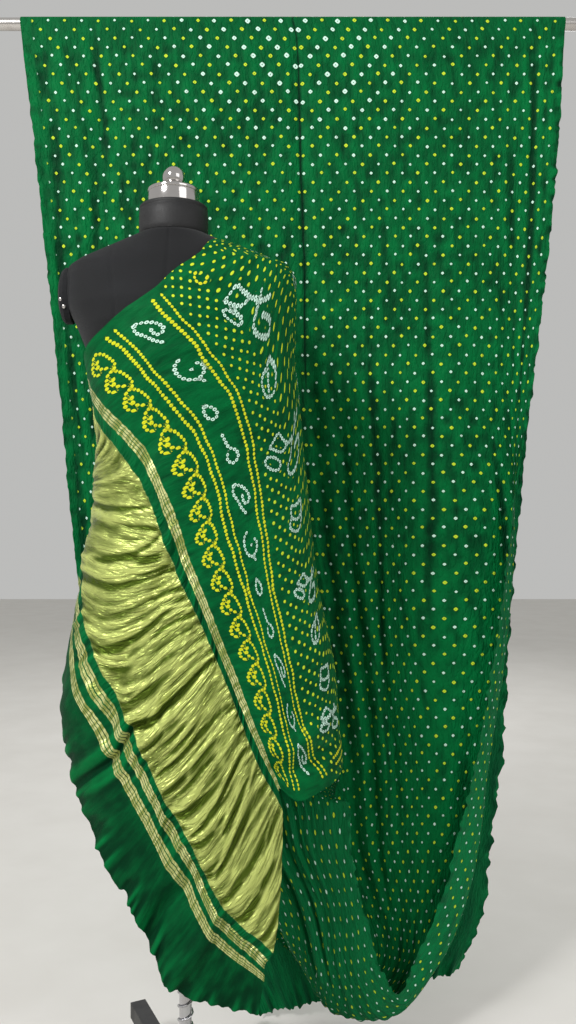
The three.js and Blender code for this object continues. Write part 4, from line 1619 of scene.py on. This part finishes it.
    def _chains(self, graph: Graph, effects: Effects, dye: Socket) -> tuple[Socket, Socket]:
        """The border's chains of ties, from the lines kept at the mesh's points.

        Args:
            graph: The material's nodes.
            effects: The shared node groups.
            dye: The colour under the ties.

        Returns:
            The colour, and the points that the ties left.
        """
        run, side, white = graph.split(graph.held("stitch").outputs["Vector"])
        off = graph.held("chain").outputs["Fac"]
        count = graph.share(run, RING_PITCH)
        spot = graph.times(graph.middled(graph.math("FRACT", count)), RING_PITCH)
        fed = {"W": graph.math("FLOOR", count)}
        chance = graph.node("ShaderNodeTexWhiteNoise", fed, noise_dimensions="1D")
        size = graph.add(3.35, graph.times(chance.outputs["Value"], 0.75))
        ring = graph.effect(
            effects.ring, Across=graph.times(side, 1.22), Along=spot, Radius=size,
            Eye=graph.mix(white, 1.0, 1.45), Roundness=1.7,
        )
        near = graph.rise(off, 4.0, 3.4)
        tone = graph.tint(white, self.yellow, self.white)
        dyed, point = self._tied(graph, ring, near, 0.5, dye, tone)
        core = graph.tint(white, self.orange, self.deep)
        dyed = graph.tint(graph.times(graph.times(ring.outputs["Eye"], near), 0.9), dyed, core)
        return dyed, graph.times(point, 0.7)

    def _gold(self, graph: Graph, place: Socket, relief: Socket, dye: Socket) -> tuple[Socket, Socket]:
        """The gold tissue band and the gold thread lines.

        Args:
            graph: The material's nodes.
            place: The woven place.
            relief: How far the cloth stands above that round it.
            dye: The colour beside them.

        Returns:
            How metallic the cloth is, and its colour.
        """
        length = graph.split(place)[1]
        sway = graph.times(graph.middled(graph.streaks(place, 0.07, 0.01)), 5.0)
        swayed = graph.add(length, sway)
        tissue = graph.between(swayed, *self.gold, 0.8)
        metal = tissue
        for at in self.zari:
            off = graph.take(swayed, at)
            band = graph.rise(graph.size(off), self.zari_half + 0.4, self.zari_half - 0.4)
            part = graph.math("FRACT", graph.share(off, self.zari_pitch))
            line = graph.times(graph.rise(graph.size(graph.middled(part)), 0.42, 0.32), band)
            metal = graph.math("MAXIMUM", metal, line)
        # Painted highlight and shade: the tissue is lighter on its ridges and in streaks along its creases,
        # darker in its hollows.
        crease = graph.join(graph.held("crease").outputs["Fac"], graph.times(length, 0.25))
        level = graph.add(graph.times(relief, 0.60), graph.noise(crease, 0.05, 3.0, 0.6))
        gold = graph.tint(graph.rise(level, 0.12, 0.88), self.gold_shaded, self.gold_lit)
        fibre = graph.rise(graph.streaks(place, 0.9, 0.05), 0.50, 0.75)
        gold = graph.tint(graph.times(fibre, 0.15), gold, self.gold_fibre)
        # Painted glints along the gold threads.
        glint = graph.rise(graph.streaks(place, 0.13, 0.02), 0.40, 0.62)
        thread = graph.tint(glint, self.thread_shaded, self.thread_lit)
        return metal, graph.tint(metal, dye, graph.tint(tissue, thread, gold))

    def _crinkle(self, graph: Graph, place: Socket) -> Socket:
        """The fine crinkle that is too small for the mesh.

        Args:
            graph: The material's nodes.
            place: The woven place.

        Returns:
            The height in millimetres.
        """
        width, length, _ = graph.split(place)
        lean = graph.times(graph.size(graph.take(width, CLOTH_WIDTH / 2)), 0.02)
        upright = graph.streaks(graph.join(graph.add(width, lean), length), 0.15, 0.04, 3.0)
        crease = graph.size(graph.middled(graph.streaks(place, 0.075, 0.03)))
        cross = graph.join(graph.held("crease").outputs["Fac"], graph.times(length, 0.2))
        slant = graph.size(graph.middled(graph.noise(cross, 0.10)))
        pebble = graph.streaks(place, 0.35, 0.35, 2.0, 0.6)
        gold = graph.between(length, self.gold[0] - 15.0, self.gold[1] + 10.0, 8.0)
        draped = graph.rise(length, self.draped_until + 50.0, self.draped_until - 50.0)
        cloth = graph.add(graph.times(upright, 2.2), graph.rise(crease, 0.0, 0.10))
        cloth = graph.times(cloth, graph.mix(draped, 1.0, 0.2))
        tissue = graph.times(graph.rise(slant, 0.0, 0.14), 1.9)
        return graph.add(graph.mix(gold, cloth, tissue), graph.times(pebble, graph.mix(gold, 0.5, 0.2)))


@dataclass(frozen=True)
class Jersey(Finish):
    """The dress form's black knitted cover."""

    roughness: float = 0.86
    sheen: float = 0.06
    specular: float = 0.25
    base: tuple = colour(24, 25, 27)
    worn: tuple = colour(42, 43, 46)
    gap: tuple = colour(18, 18, 20)
    stitch: float = 1.3
    round_at: float = 150.0  # the radius, in millimetres, at which the stitches are square

    def paint(self, graph: Graph, shader: bpy.types.Node, effects: Effects) -> None:
        """Knits the cover round the form.

        Args:
            graph: The material's nodes.
            shader: Its Principled BSDF.
            effects: The shared node groups.
        """
        x, y, z = graph.split(graph.here())
        turn = graph.math("ARCTAN2", graph.take(x, FORM_AXIS[0] * MM), graph.take(y, FORM_AXIS[1] * MM))
        around = graph.join(graph.times(turn, self.round_at), graph.times(z, 1 / MM))
        knit = graph.effect(effects.weave, Place=around, Pitch=self.stitch, Slub=0.7)
        grain = graph.effect(effects.grain, Place=graph.here(), Size=0.004)
        fade = graph.rise(grain.outputs["Patch"], 0.40, 0.75)
        tone = graph.tint(graph.times(fade, 0.5), self.base, self.worn)
        tone = graph.tint(graph.times(knit.outputs["Thread"], 0.25), tone, self.gap)
        rough = graph.add(self.roughness - 0.06, graph.times(fade, 0.10))
        loops = graph.times(knit.outputs["Height"], 0.09)
        self.coat(graph, shader, tone, rough, graph.add(loops, graph.times(grain.outputs["Height"], 0.10)))


@dataclass(frozen=True)
class Leather(Finish):
    """Black leather over the neck block."""

    roughness: float = 0.42
    base: tuple = colour(26, 26, 28)
    worn: tuple = colour(70, 68, 66)
    # gap: the darker colour of the creases between the cells, painted shade
    gap: tuple = colour(10, 10, 11)
    cells: float = 420.0  # creases to a metre

    def paint(self, graph: Graph, shader: bpy.types.Node, effects: Effects) -> None:
        """Creases the leather into small cells.

        Args:
            graph: The material's nodes.
            shader: Its Principled BSDF.
            effects: The shared node groups.
        """
        here = graph.here()
        fed = {"Vector": here, "Scale": self.cells}
        cells = graph.node("ShaderNodeTexVoronoi", fed, feature="DISTANCE_TO_EDGE")
        crease = graph.rise(cells.outputs["Distance"], 0.0, 0.14)
        grain = graph.effect(effects.grain, Place=here, Size=0.0022).outputs["Height"]
        smudge = graph.effect(effects.wear, Place=here, Scale=1.0).outputs["Smudge"]
        # Painted shade: the cells' edges, where the grain sinks, take the darker gap colour.
        tone = graph.tint(crease, self.gap, graph.tint(graph.times(smudge, 0.18), self.base, self.worn))
        rough = graph.add(self.roughness, graph.times(grain, 0.18))
        height = graph.add(graph.times(crease, 0.16), graph.times(grain, 0.12))
        self.coat(graph, shader, tone, rough, height)


@dataclass(frozen=True)
class Metal(Finish):
    """Bare or plated metal, brushed lightly or polished."""

    metallic: float = 1.0
    base: tuple = colour(214, 210, 206)
    dull: tuple = colour(168, 160, 156)
    brush: float = 0.01

    def paint(self, graph: Graph, shader: bpy.types.Node, effects: Effects) -> None:
        """Scratches and smudges the metal.

        Args:
            graph: The material's nodes.
            shader: Its Principled BSDF.
            effects: The shared node groups.
        """
        here = graph.here()
        wear = graph.effect(effects.wear, Place=here, Scale=3.0)
        grain = graph.effect(effects.grain, Place=here, Size=0.003)
        scratch, smudge = wear.outputs["Scratch"], wear.outputs["Smudge"]
        tone = graph.tint(graph.times(smudge, 0.35), self.base, self.dull)
        rough = graph.add(self.roughness, graph.times(smudge, 0.10))
        rough = graph.add(rough, graph.times(scratch, 0.12))
        height = graph.take(grain.outputs["Height"], scratch)
        self.coat(graph, shader, tone, rough, height, self.brush)


@dataclass(frozen=True)
class Paint(Finish):
    """Black paint on steel, or moulded black plastic, with dust in its grain."""

    base: tuple = colour(13, 13, 14)
    dust: tuple = colour(82, 80, 76)
    dusty: float = 0.06
    texture: float = 0.05

    def paint(self, graph: Graph, shader: bpy.types.Node, effects: Effects) -> None:
        """Paints the surface and dusts it.

        Args:
            graph: The material's nodes.
            shader: Its Principled BSDF.
            effects: The shared node groups.
        """
        here = graph.here()
        wear = graph.effect(effects.wear, Place=here, Scale=2.0)
        grain = graph.effect(effects.grain, Place=here, Size=0.0016)
        dust = graph.times(graph.rise(grain.outputs["Patch"], 0.40, 0.72), self.dusty)
        tone = graph.tint(dust, self.base, self.dust)
        tone = graph.tint(graph.times(wear.outputs["Scratch"], 0.12), tone, self.dust)
        rough = graph.add(self.roughness, graph.times(wear.outputs["Smudge"], 0.14))
        self.coat(graph, shader, tone, rough, grain.outputs["Height"], self.texture)


@dataclass(frozen=True)
class PaleFloor(Finish):
    """The studio's pale floor."""

    roughness: float = 0.7
    base: tuple = colour(222, 220, 215)
    worn: tuple = colour(208, 205, 199)

    def paint(self, graph: Graph, shader: bpy.types.Node, effects: Effects) -> None:
        """Varies the floor a little.

        Args:
            graph: The material's nodes.
            shader: Its Principled BSDF.
            effects: The shared node groups.
        """
        grain = graph.effect(effects.grain, Place=graph.here(), Size=0.01)
        tone = graph.tint(grain.outputs["Patch"], self.base, self.worn)
        self.coat(graph, shader, tone, self.roughness, grain.outputs["Height"], 0.1)


# The object's parts


class Held(Enum):
    """What keeps a length of the cloth up."""

    DRAPED = "draped"
    HUNG = "hung"


@dataclass
class Stretch:
    """A length of the cloth that is one mesh: its name, where it runs, its cell size and its flat length."""

    name: str
    start: float
    end: float
    columns: int
    rows: int
    flat: float
    held: Held
    rests_on: tuple[str, ...]


@dataclass
class Sari:
    """The whole sari, in three lengths that share their edges."""

    path: ClothPath = field(default_factory=ClothPath)
    clear: float = 1.3  # the least distance from the form, in millimetres
    form_heights: tuple[float, float] = (-1290.0, -520.0)
    draped_until: float = 1040.0
    near_form: float = 1500.0
    relief_size: float = 2.2  # a wrinkle's height that counts as full in the relief
    relief_reach: int = 4  # how many cells round a place its height is compared with
    gathered: tuple[float, float] = (1330.0, 1880.0)  # where the near fall's ties are drawn together
    gather: float = 0.52
    eased: tuple[float, float] = (1250.0, 1960.0)  # where the pleats take up length

    def stretches(self) -> tuple[Stretch, ...]:
        """Lists the lengths from the hem on the form.

        Returns:
            The lengths.
        """
        behind, rail, end = self.draped_until, self.path.length_of("rail"), self.path.length
        return (
            Stretch("sari_draped_end", 0.0, behind, 320, 297, 0.84, Held.DRAPED, ("form_jersey",)),
            Stretch("sari_front_panel", behind, rail, 184, 508, 2.55, Held.HUNG, ("rail",)),
            Stretch("sari_back_layer", rail, end, 150, 274, 1.98, Held.HUNG, ("rail",)),
        )

    def build(self, material: bpy.types.Material) -> None:
        """Makes and dresses each length.

        Args:
            material: The sari's material.
        """
        form = self._form_surface()
        chains = Border().chains(self.path)
        for stretch in self.stretches():
            piece = self._make(stretch, form, chains)
            dress(piece, material)
            ride(piece, "sari", "sari_cloth")

    @staticmethod
    def _form_surface() -> BVHTree:
        """Gathers the form's solids for the cloth to stay clear of.

        Returns:
            A tree of its faces.
        """
        points: list[Vector] = []
        faces: list[tuple[int, ...]] = []
        for name in ("form_torso", "arm_plate_left", "arm_plate_right"):
            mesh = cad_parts[name].data
            start = len(points)
            points.extend(v.co.copy() for v in mesh.vertices)
            faces.extend(tuple(i + start for i in p.vertices) for p in mesh.polygons)
        return BVHTree.FromPolygons(points, faces)

    def _make(self, stretch: Stretch, form: BVHTree, chains: list[Chain]) -> bpy.types.Object:
        """Makes one length's mesh with its woven places, its chains and its relief.

        Args:
            stretch: The length.
            form: The form's surface.
            chains: The border's chains.

        Returns:
            The piece.
        """
        widths = np.linspace(0.0, CLOTH_WIDTH, stretch.columns + 1)
        step = (stretch.end - stretch.start) / stretch.rows
        lengths = stretch.start + step * np.arange(-2, stretch.rows + 3)
        lengths = lengths[(lengths > -SLIGHT) & (lengths < self.path.length + SLIGHT)]
        inner = (lengths > stretch.start - SLIGHT) & (lengths < stretch.end + SLIGHT)
        across, along = np.meshgrid(widths, lengths)
        points, small = self._shape(widths, lengths)
        if stretch.start < self.near_form:
            self._keep_clear(points, along, form)
        out = facing(points)[inner]
        points, small = points[inner], small[inner]
        piece = piece_of(stretch.name, points, grid_faces(*points.shape[:2]))
        mesh = piece.data
        mesh.normals_split_custom_set_from_vertices(out.reshape(-1, 3).tolist())
        across, along, lengths = across[inner], along[inner], lengths[inner]
        spread = 1 - self.gather * soft_band(*self.gathered, 160.0, along)
        woven = CLOTH_WIDTH - (CLOTH_WIDTH - across) * spread
        eased = along - PLEATED * soft_step(*self.eased, along)
        self._keep(mesh, "place", np.stack([woven, eased, np.zeros_like(across)], -1))
        self._keep(mesh, "relief", self._relief(small))
        self._keep(mesh, "crease", Wrinkles.across_creases(across, along))
        near = ChainField.over(widths, lengths, chains if stretch.start == 0.0 else [])
        self._keep(mesh, "stitch", np.stack([near.run, near.side, near.white], -1))
        self._keep(mesh, "chain", near.off)
        self._unwrap(mesh, stretch)
        return piece

    def _shape(self, widths: Array, lengths: Array) -> tuple[Array, Array]:
        """Folds, wrinkles and ruffles the cloth.

        Args:
            widths: Distances from the cloth's left edge.
            lengths: Distances from the hem on the form.

        Returns:
            The points in millimetres, and the small wrinkles' heights.
        """
        across, along = np.meshgrid(widths, lengths)
        rows = self.path.rows_at(lengths)
        wrinkles = Wrinkles(self.path)
        small = wrinkles.height(across, along)
        height = self.path.main_folds(rows, widths) + small
        base = self.path.places(rows, widths)
        points = base + facing(base) * height[..., None]
        for axis, sway in ((1, wrinkles.edge_sway(across, along)), (0, wrinkles.hem_sway(across, along))):
            ahead = np.gradient(base, axis=axis)
            size = np.maximum(np.linalg.norm(ahead, axis=-1, keepdims=True), SLIGHT)
            points += ahead / size * sway[..., None]
        return points, small

    @staticmethod
    def _keep(mesh: bpy.types.Mesh, name: str, values: Array) -> None:
        """Stores a number or a vector at each point.

        Args:
            mesh: The mesh.
            name: The attribute's name.
            values: A number or a vector for each point.
        """
        vector = values.ndim == 3
        made = mesh.attributes.new(name, "FLOAT_VECTOR" if vector else "FLOAT", "POINT")
        made.data.foreach_set("vector" if vector else "value", values.reshape(-1).astype(np.float32))

    @staticmethod
    def _unwrap(mesh: bpy.types.Mesh, stretch: Stretch) -> None:
        """Lays the length out flat over the whole of its map.

        Args:
            mesh: The mesh.
            stretch: The length of cloth.
        """
        layer = mesh.uv_layers.new(name="OFBake")
        corners = np.empty(len(mesh.loops), np.int32)
        mesh.loops.foreach_get("vertex_index", corners)
        columns = stretch.columns + 1
        flat = np.stack([corners % columns / stretch.columns, corners // columns / stretch.rows], -1)
        layer.uv.foreach_set("vector", flat.reshape(-1).astype(np.float32))

    def _relief(self, small: Array) -> Array:
        """Tells ridges from hollows: how far each place stands above those round it, from -1 to 1.

        Args:
            small: The small wrinkles' heights.

        Returns:
            The relief.
        """
        padded = np.pad(small, self.relief_reach, mode="edge")
        sums = np.cumsum(np.cumsum(np.pad(padded, ((1, 0), (1, 0))), 0), 1)
        span = 2 * self.relief_reach + 1
        after, before = sums[span:], sums[:-span]
        means = (after[:, span:] - before[:, span:] - after[:, :-span] + before[:, :-span]) / span**2
        return np.clip((small - means) / self.relief_size, -1, 1)

    def _keep_clear(self, points: Array, along: Array, form: BVHTree) -> None:
        """Moves the points that are too near the form out of it.

        Args:
            points: Points in millimetres, as a grid.
            along: Each point's distance from the hem.
            form: The form's surface.
        """
        flat = points.reshape(-1, 3)
        low, high = self.form_heights
        near = (flat[:, 2] > low) & (flat[:, 2] < high) & (along.reshape(-1) < self.near_form)
        moved = 0
        for index in np.nonzero(near)[0]:
            spot = Vector(flat[index] * MM)
            hit, normal, _, _ = form.find_nearest(spot, 0.03)
            if hit is None:
                continue
            gap = (spot - hit).dot(normal) / MM
            if gap < self.clear:
                flat[index] += np.array(normal) * (self.clear - gap)
                moved += 1
        log.info("moved %d points clear of the form", moved)


@dataclass
class ClothesRail:
    """The steel rail and its end plugs."""

    steel: Metal = Metal("rail_steel", roughness=0.20, brush=0.02)
    plug: Paint = Paint("rail_plug", roughness=0.5)

    def build(self, effects: Effects) -> None:
        """Dresses the carried-over rail and plugs.

        Args:
            effects: The shared node groups.
        """
        smooth_node("rail", self.steel.make(effects))
        plug = self.plug.make(effects)
        for name in ("rail_plug_left", "rail_plug_right"):
            smooth_node(name, plug, edge=0.8)
        log.info("rail: dressed")


@dataclass
class DressForm:
    """The jersey-covered torso, its arm plates, and the neck block with its ring and knob."""

    sides: int = 300
    inset: float = 0.6  # the cover's distance inside the solid, so that the cloth stays outside it
    seam_depth: float = 1.7
    seam_half: float = 2.4
    plate_centre: float = -640.0
    plate_seam: tuple[float, float] = (40.0, 55.0)
    neck: tuple[float, float, float] = (-538.7, -488.3, 58.0)
    neck_flat: float = 0.93
    studs: tuple = ((-186.0, -652.0), (-180.0, -664.0))
    ring: tuple[float, float, float] = (-487.9, -459.3, 44.6)
    knob: tuple[float, float] = (-458.9, 19.4)
    knob_height: float = 40.3
    stud: tuple = ((3.4, -0.4), (3.4, 0.5), (2.9, 1.1), (1.7, 1.6), (0.3, 1.8))
    jersey: Jersey = Jersey("jersey")
    leather: Leather = Leather("neck_leather")
    plated: Metal = Metal("polished_steel", roughness=0.09, base=colour(206, 202, 200), brush=0.005)
    torso: tuple = (
        (-539, 60, 57, 53), (-558, 108, 66, 62), (-580, 160, 78, 74), (-592, 178, 84, 80),
        (-610, 184, 92, 86), (-640, 184, 106, 91), (-665, 178, 120, 93),
        (-700, 161, 133, 94), (-757, 138, 133, 92),
        (-800, 126, 120, 86), (-850, 119, 102, 80), (-895, 117, 96, 78), (-950, 120, 97, 82),
        (-1050, 134, 107, 99), (-1131, 147, 115, 110), (-1210, 154, 118, 112), (-1245, 151, 115, 109),
        (-1260, 138, 104, 98),
    )

    def build(self, effects: Effects) -> None:
        """Builds and dresses the form.

        Args:
            effects: The shared node groups.
        """
        jersey = self.jersey.make(effects)
        plated = self.plated.make(effects)
        self._torso(jersey)
        for name in ("arm_plate_left", "arm_plate_right"):
            smooth_node(name, jersey)
        self._neck(self.leather.make(effects))
        self._ring_and_knob(plated)
        self._studs(plated)

    def _torso(self, jersey: bpy.types.Material) -> None:
        """Covers the torso with its seams.

        Args:
            jersey: The knitted cover's material.
        """
        table = np.array(self.torso, float)
        between = [
            np.linspace(a, b, max(3, int((a - b) / 4)), endpoint=False)
            for a, b in zip(table[:-1, 0], table[1:, 0])
        ]
        heights = np.concatenate([*between, table[-1:, 0]])
        steps = np.interp(-heights, -table[:, 0], np.arange(len(table)))
        half, front, back = (np.interp(steps, np.arange(len(table)), table[:, k]) for k in (1, 2, 3))
        angle = np.linspace(0, 2 * np.pi, self.sides, endpoint=False)[None, :]
        depth = np.where(np.cos(angle) > 0, front[:, None], back[:, None])
        x = half[:, None] * np.sin(angle)
        y = -depth * np.cos(angle)
        z = np.broadcast_to(heights[:, None], x.shape)
        inward = self.inset + self._seams(x, y, z)
        reach = np.maximum(np.hypot(x, y), 1.0)
        shrink = 1 - inward / reach
        points = np.stack([FORM_AXIS[0] + x * shrink, FORM_AXIS[1] + y * shrink, z], -1)
        last = (len(heights) - 1) * self.sides
        caps = (tuple(range(self.sides)), tuple(range(last + self.sides - 1, last - 1, -1)))
        quads = grid_faces(len(heights), self.sides, closed=True)[:, ::-1]
        piece = piece_of("form_jersey", points, quads, caps)
        dress(piece, jersey)
        ride(piece, "jersey", "form_torso")

    def _seams(self, x: Array, y: Array, z: Array) -> Array:
        """Gives how deep each place is pulled in by the princess, centre, side and armhole seams.

        Args:
            x: Distances to the right of the form's axis.
            y: Distances behind it.
            z: Heights.

        Returns:
            The depths in millimetres.
        """
        shoulder = soft_step(-700, -580, z)
        waist = soft_band(-960, -840, 90, z)
        princess = 80 + 16 * shoulder - 16 * waist
        armhole = np.hypot(y / self.plate_seam[0], (z - self.plate_centre) / self.plate_seam[1])
        off = np.minimum(np.abs(np.abs(x) - princess), np.abs(x))
        off = np.where(np.abs(x) > 100, np.abs(y), off)
        hole = np.where(np.abs(x) > 120, np.abs(armhole - 1) * 46, 99.0)
        off = np.where((armhole < 1) & (np.abs(x) > 120), 99.0, off)
        off = np.minimum(off, hole)
        return self.seam_depth * np.exp(-((off / self.seam_half) ** 2))

    def _neck(self, leather: bpy.types.Material) -> None:
        """Makes the leather neck block with its stitched top edge.

        Args:
            leather: The leather's material.
        """
        low, high, radius = self.neck
        profile = (
            (radius - 1.6, low), (radius - 0.2, low + 1.5), (radius + 0.6, low + 10),
            (radius + 0.7, low + 26), (radius, high - 8.5), (radius - 1.4, high - 7.2),
            (radius - 0.2, high - 5.4),
            (radius - 0.3, high - 2.2), (radius - 2.5, high),
        )
        piece = turned("form_neck_block", profile, 96, (*FORM_AXIS, 0.0), flat=self.neck_flat)
        dress(piece, leather)
        ride(piece, "jersey", "form_neck")

    def _ring_and_knob(self, plated: bpy.types.Material) -> None:
        """Makes the polished ring with its lid, and the knob on it.

        Args:
            plated: The polished metal's material.
        """
        low, high, radius = self.ring
        wall = rounded(radius - 0.6, low, high - 6.0, 1.2)
        lid = rounded(radius, high - 6.4, high, 2.2)
        profile = (*wall[:-1], (radius - 2.2, high - 6.2), *lid)
        piece = turned("form_ring_lid", profile, 96, (*FORM_AXIS, 0.0))
        dress(piece, plated)
        ride(piece, "polished_steel", "form_ring")
        foot, size = self.knob
        turn = np.linspace(-math.pi / 2 + 0.5, math.pi / 2 - 0.04, 20)
        top = foot + self.knob_height
        ball = [(size * math.cos(t), top - size + size * math.sin(t)) for t in turn]
        collar = ((9.5, foot), (10.5, foot + 0.6), (10.5, foot + 3.0), (8.6, foot + 3.8))
        piece = turned("form_knob_ball", (*collar, *ball), 64, (*FORM_AXIS, 0.0))
        dress(piece, plated)
        ride(piece, "polished_steel", "form_knob")

    def _studs(self, plated: bpy.types.Material) -> None:
        """Sets two small studs in the front of the bare arm plate.

        Args:
            plated: The polished metal's material.
        """
        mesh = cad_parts["arm_plate_left"].data
        tree = BVHTree.FromPolygons([v.co for v in mesh.vertices], [p.vertices for p in mesh.polygons])
        for number, (x, z) in enumerate(self.studs, 1):
            start = Vector(((FORM_AXIS[0] + x) * MM, -0.6, z * MM))
            spot, normal, _, _ = tree.ray_cast(start, Vector((0, 1, 0)))
            if spot is None:
                raise ValueError(f"stud {number} misses the arm plate")
            lean = np.array(normal.to_track_quat("Z", "Y").to_matrix())
            stud = turned(f"arm_stud_{number}", self.stud, 20, tuple(np.array(spot) / MM), lean=lean)
            dress(stud, plated)
            ride(stud, "polished_steel")


@dataclass
class FormStand:
    """The pole, its spring, the hub with its four bars, and the wheels."""

    bar_edge: float = 2.0
    wheel_radius: float = 24.3
    wheel_width: float = 29.6
    plated: Metal = Metal("stand_steel", roughness=0.14, base=colour(205, 205, 208), brush=0.008)
    black: Paint = Paint("base_black", roughness=0.42)
    rubber: Paint = Paint("wheel_rubber", roughness=0.75, base=colour(30, 30, 31), dusty=0.35, texture=0.12)

    def build(self, effects: Effects) -> None:
        """Dresses the stand and makes its wheels.

        Args:
            effects: The shared node groups.
        """
        plated = self.plated.make(effects)
        black = self.black.make(effects)
        rubber = self.rubber.make(effects)
        smooth_node("stand_pole", plated)
        smooth_node("stand_spring", plated)
        smooth_node("stand_hub", black, edge=self.bar_edge)
        for number in range(1, 5):
            smooth_node(f"stand_bar_{number}", black, edge=self.bar_edge)
            smooth_node(f"wheel_stem_{number}", plated)
            self._wheel(number, rubber)
        log.info("stand: dressed")

    def _wheel(self, number: int, rubber: bpy.types.Material) -> None:
        """Turns a wheel with a rounded tread and a dished hub, on its node's own axis.

        Args:
            number: The wheel's number.
            rubber: The wheels' material.
        """
        low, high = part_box(f"wheel_{number}")
        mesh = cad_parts[f"wheel_{number}"].data
        centre = (np.array(low) + np.array(high)) / 2 / MM
        points = np.array([v.co for v in mesh.vertices]) / MM - centre
        axes = np.linalg.svd(points, full_matrices=False)[2]
        axis = min(axes, key=lambda a: abs(np.ptp(points @ a) - self.wheel_width))
        lean = np.array(Vector(axis).to_track_quat("Z", "Y").to_matrix())
        half, radius = self.wheel_width / 2, self.wheel_radius
        tread = rounded(radius, -half, half, 6.0)
        dish = ((7.0, -half + 1.0), (9.0, -half + 3.2), (15.0, -half + 3.2), (16.5, -half + 0.2))
        other = tuple((r, -z) for r, z in reversed(dish))
        wheel = turned(f"castor_{number}", (*dish, *tread, *other), 48, tuple(centre), lean=lean)
        dress(wheel, rubber)
        ride(wheel, "base_black", f"wheel_{number}")


@dataclass
class Studio:
    """The floor, the lights and the camera."""

    camera_at: tuple[float, float, float] = (-0.010, -1.837, -1.008)
    lens: float = 31.25
    world: tuple = colour(232, 232, 230)
    world_strength: float = 0.62
    floor_size: float = 9000.0
    lights: tuple = (
        ("key", (-2.4, -3.2, 1.6), (0.0, -0.1, -0.9), 1.0, 150.0),
        ("fill", (3.0, -3.2, 0.6), (0.0, -0.1, -1.0), 2.4, 26.0),
        ("back", (0.8, 3.2, 1.4), (0.0, 0.0, -0.8), 2.4, 70.0),
    )

    def build(self, effects: Effects) -> None:
        """Makes the studio.

        Args:
            effects: The shared node groups.
        """
        at, ends = FLOOR_Z / MM, (-self.floor_size, self.floor_size)
        corners = np.array([[(x, y, at) for x in ends] for y in ends])
        floor = piece_of("studio_floor", corners, grid_faces(2, 2))
        dress(floor, PaleFloor("floor").make(effects))
        world = bpy.data.worlds.new("studio")
        bpy.context.scene.world = world
        world.use_nodes = True
        world.node_tree.nodes["Background"].inputs["Color"].default_value = self.world
        world.node_tree.nodes["Background"].inputs["Strength"].default_value = self.world_strength
        for name, spot, target, size, power in self.lights:
            data = bpy.data.lights.new(name, "AREA")
            data.size = size
            data.energy = power
            light = bpy.data.objects.new(name, data)
            light.location = spot
            light.rotation_euler = (Vector(target) - Vector(spot)).to_track_quat("-Z", "Y").to_euler()
            bpy.context.scene.collection.objects.link(light)
        camera = bpy.data.objects.new("camera", bpy.data.cameras.new("camera"))
        camera.data.lens = self.lens
        camera.data.sensor_width = 36.0
        camera.location = self.camera_at
        camera.rotation_euler = (math.radians(90), 0, 0)
        bpy.context.scene.collection.objects.link(camera)
        bpy.context.scene.camera = camera
        bpy.context.scene.view_settings.view_transform = "Standard"


def main() -> None:
    """Builds the looks."""
    logging.basicConfig(level=logging.INFO, format="%(name)s: %(message)s")
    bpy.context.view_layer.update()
    effects = Effects()
    Studio().build(effects)
    Sari().build(SariDye("sari").make(effects))
    ClothesRail().build(effects)
    DressForm().build(effects)
    FormStand().build(effects)


if __name__ == "__main__":
    main()
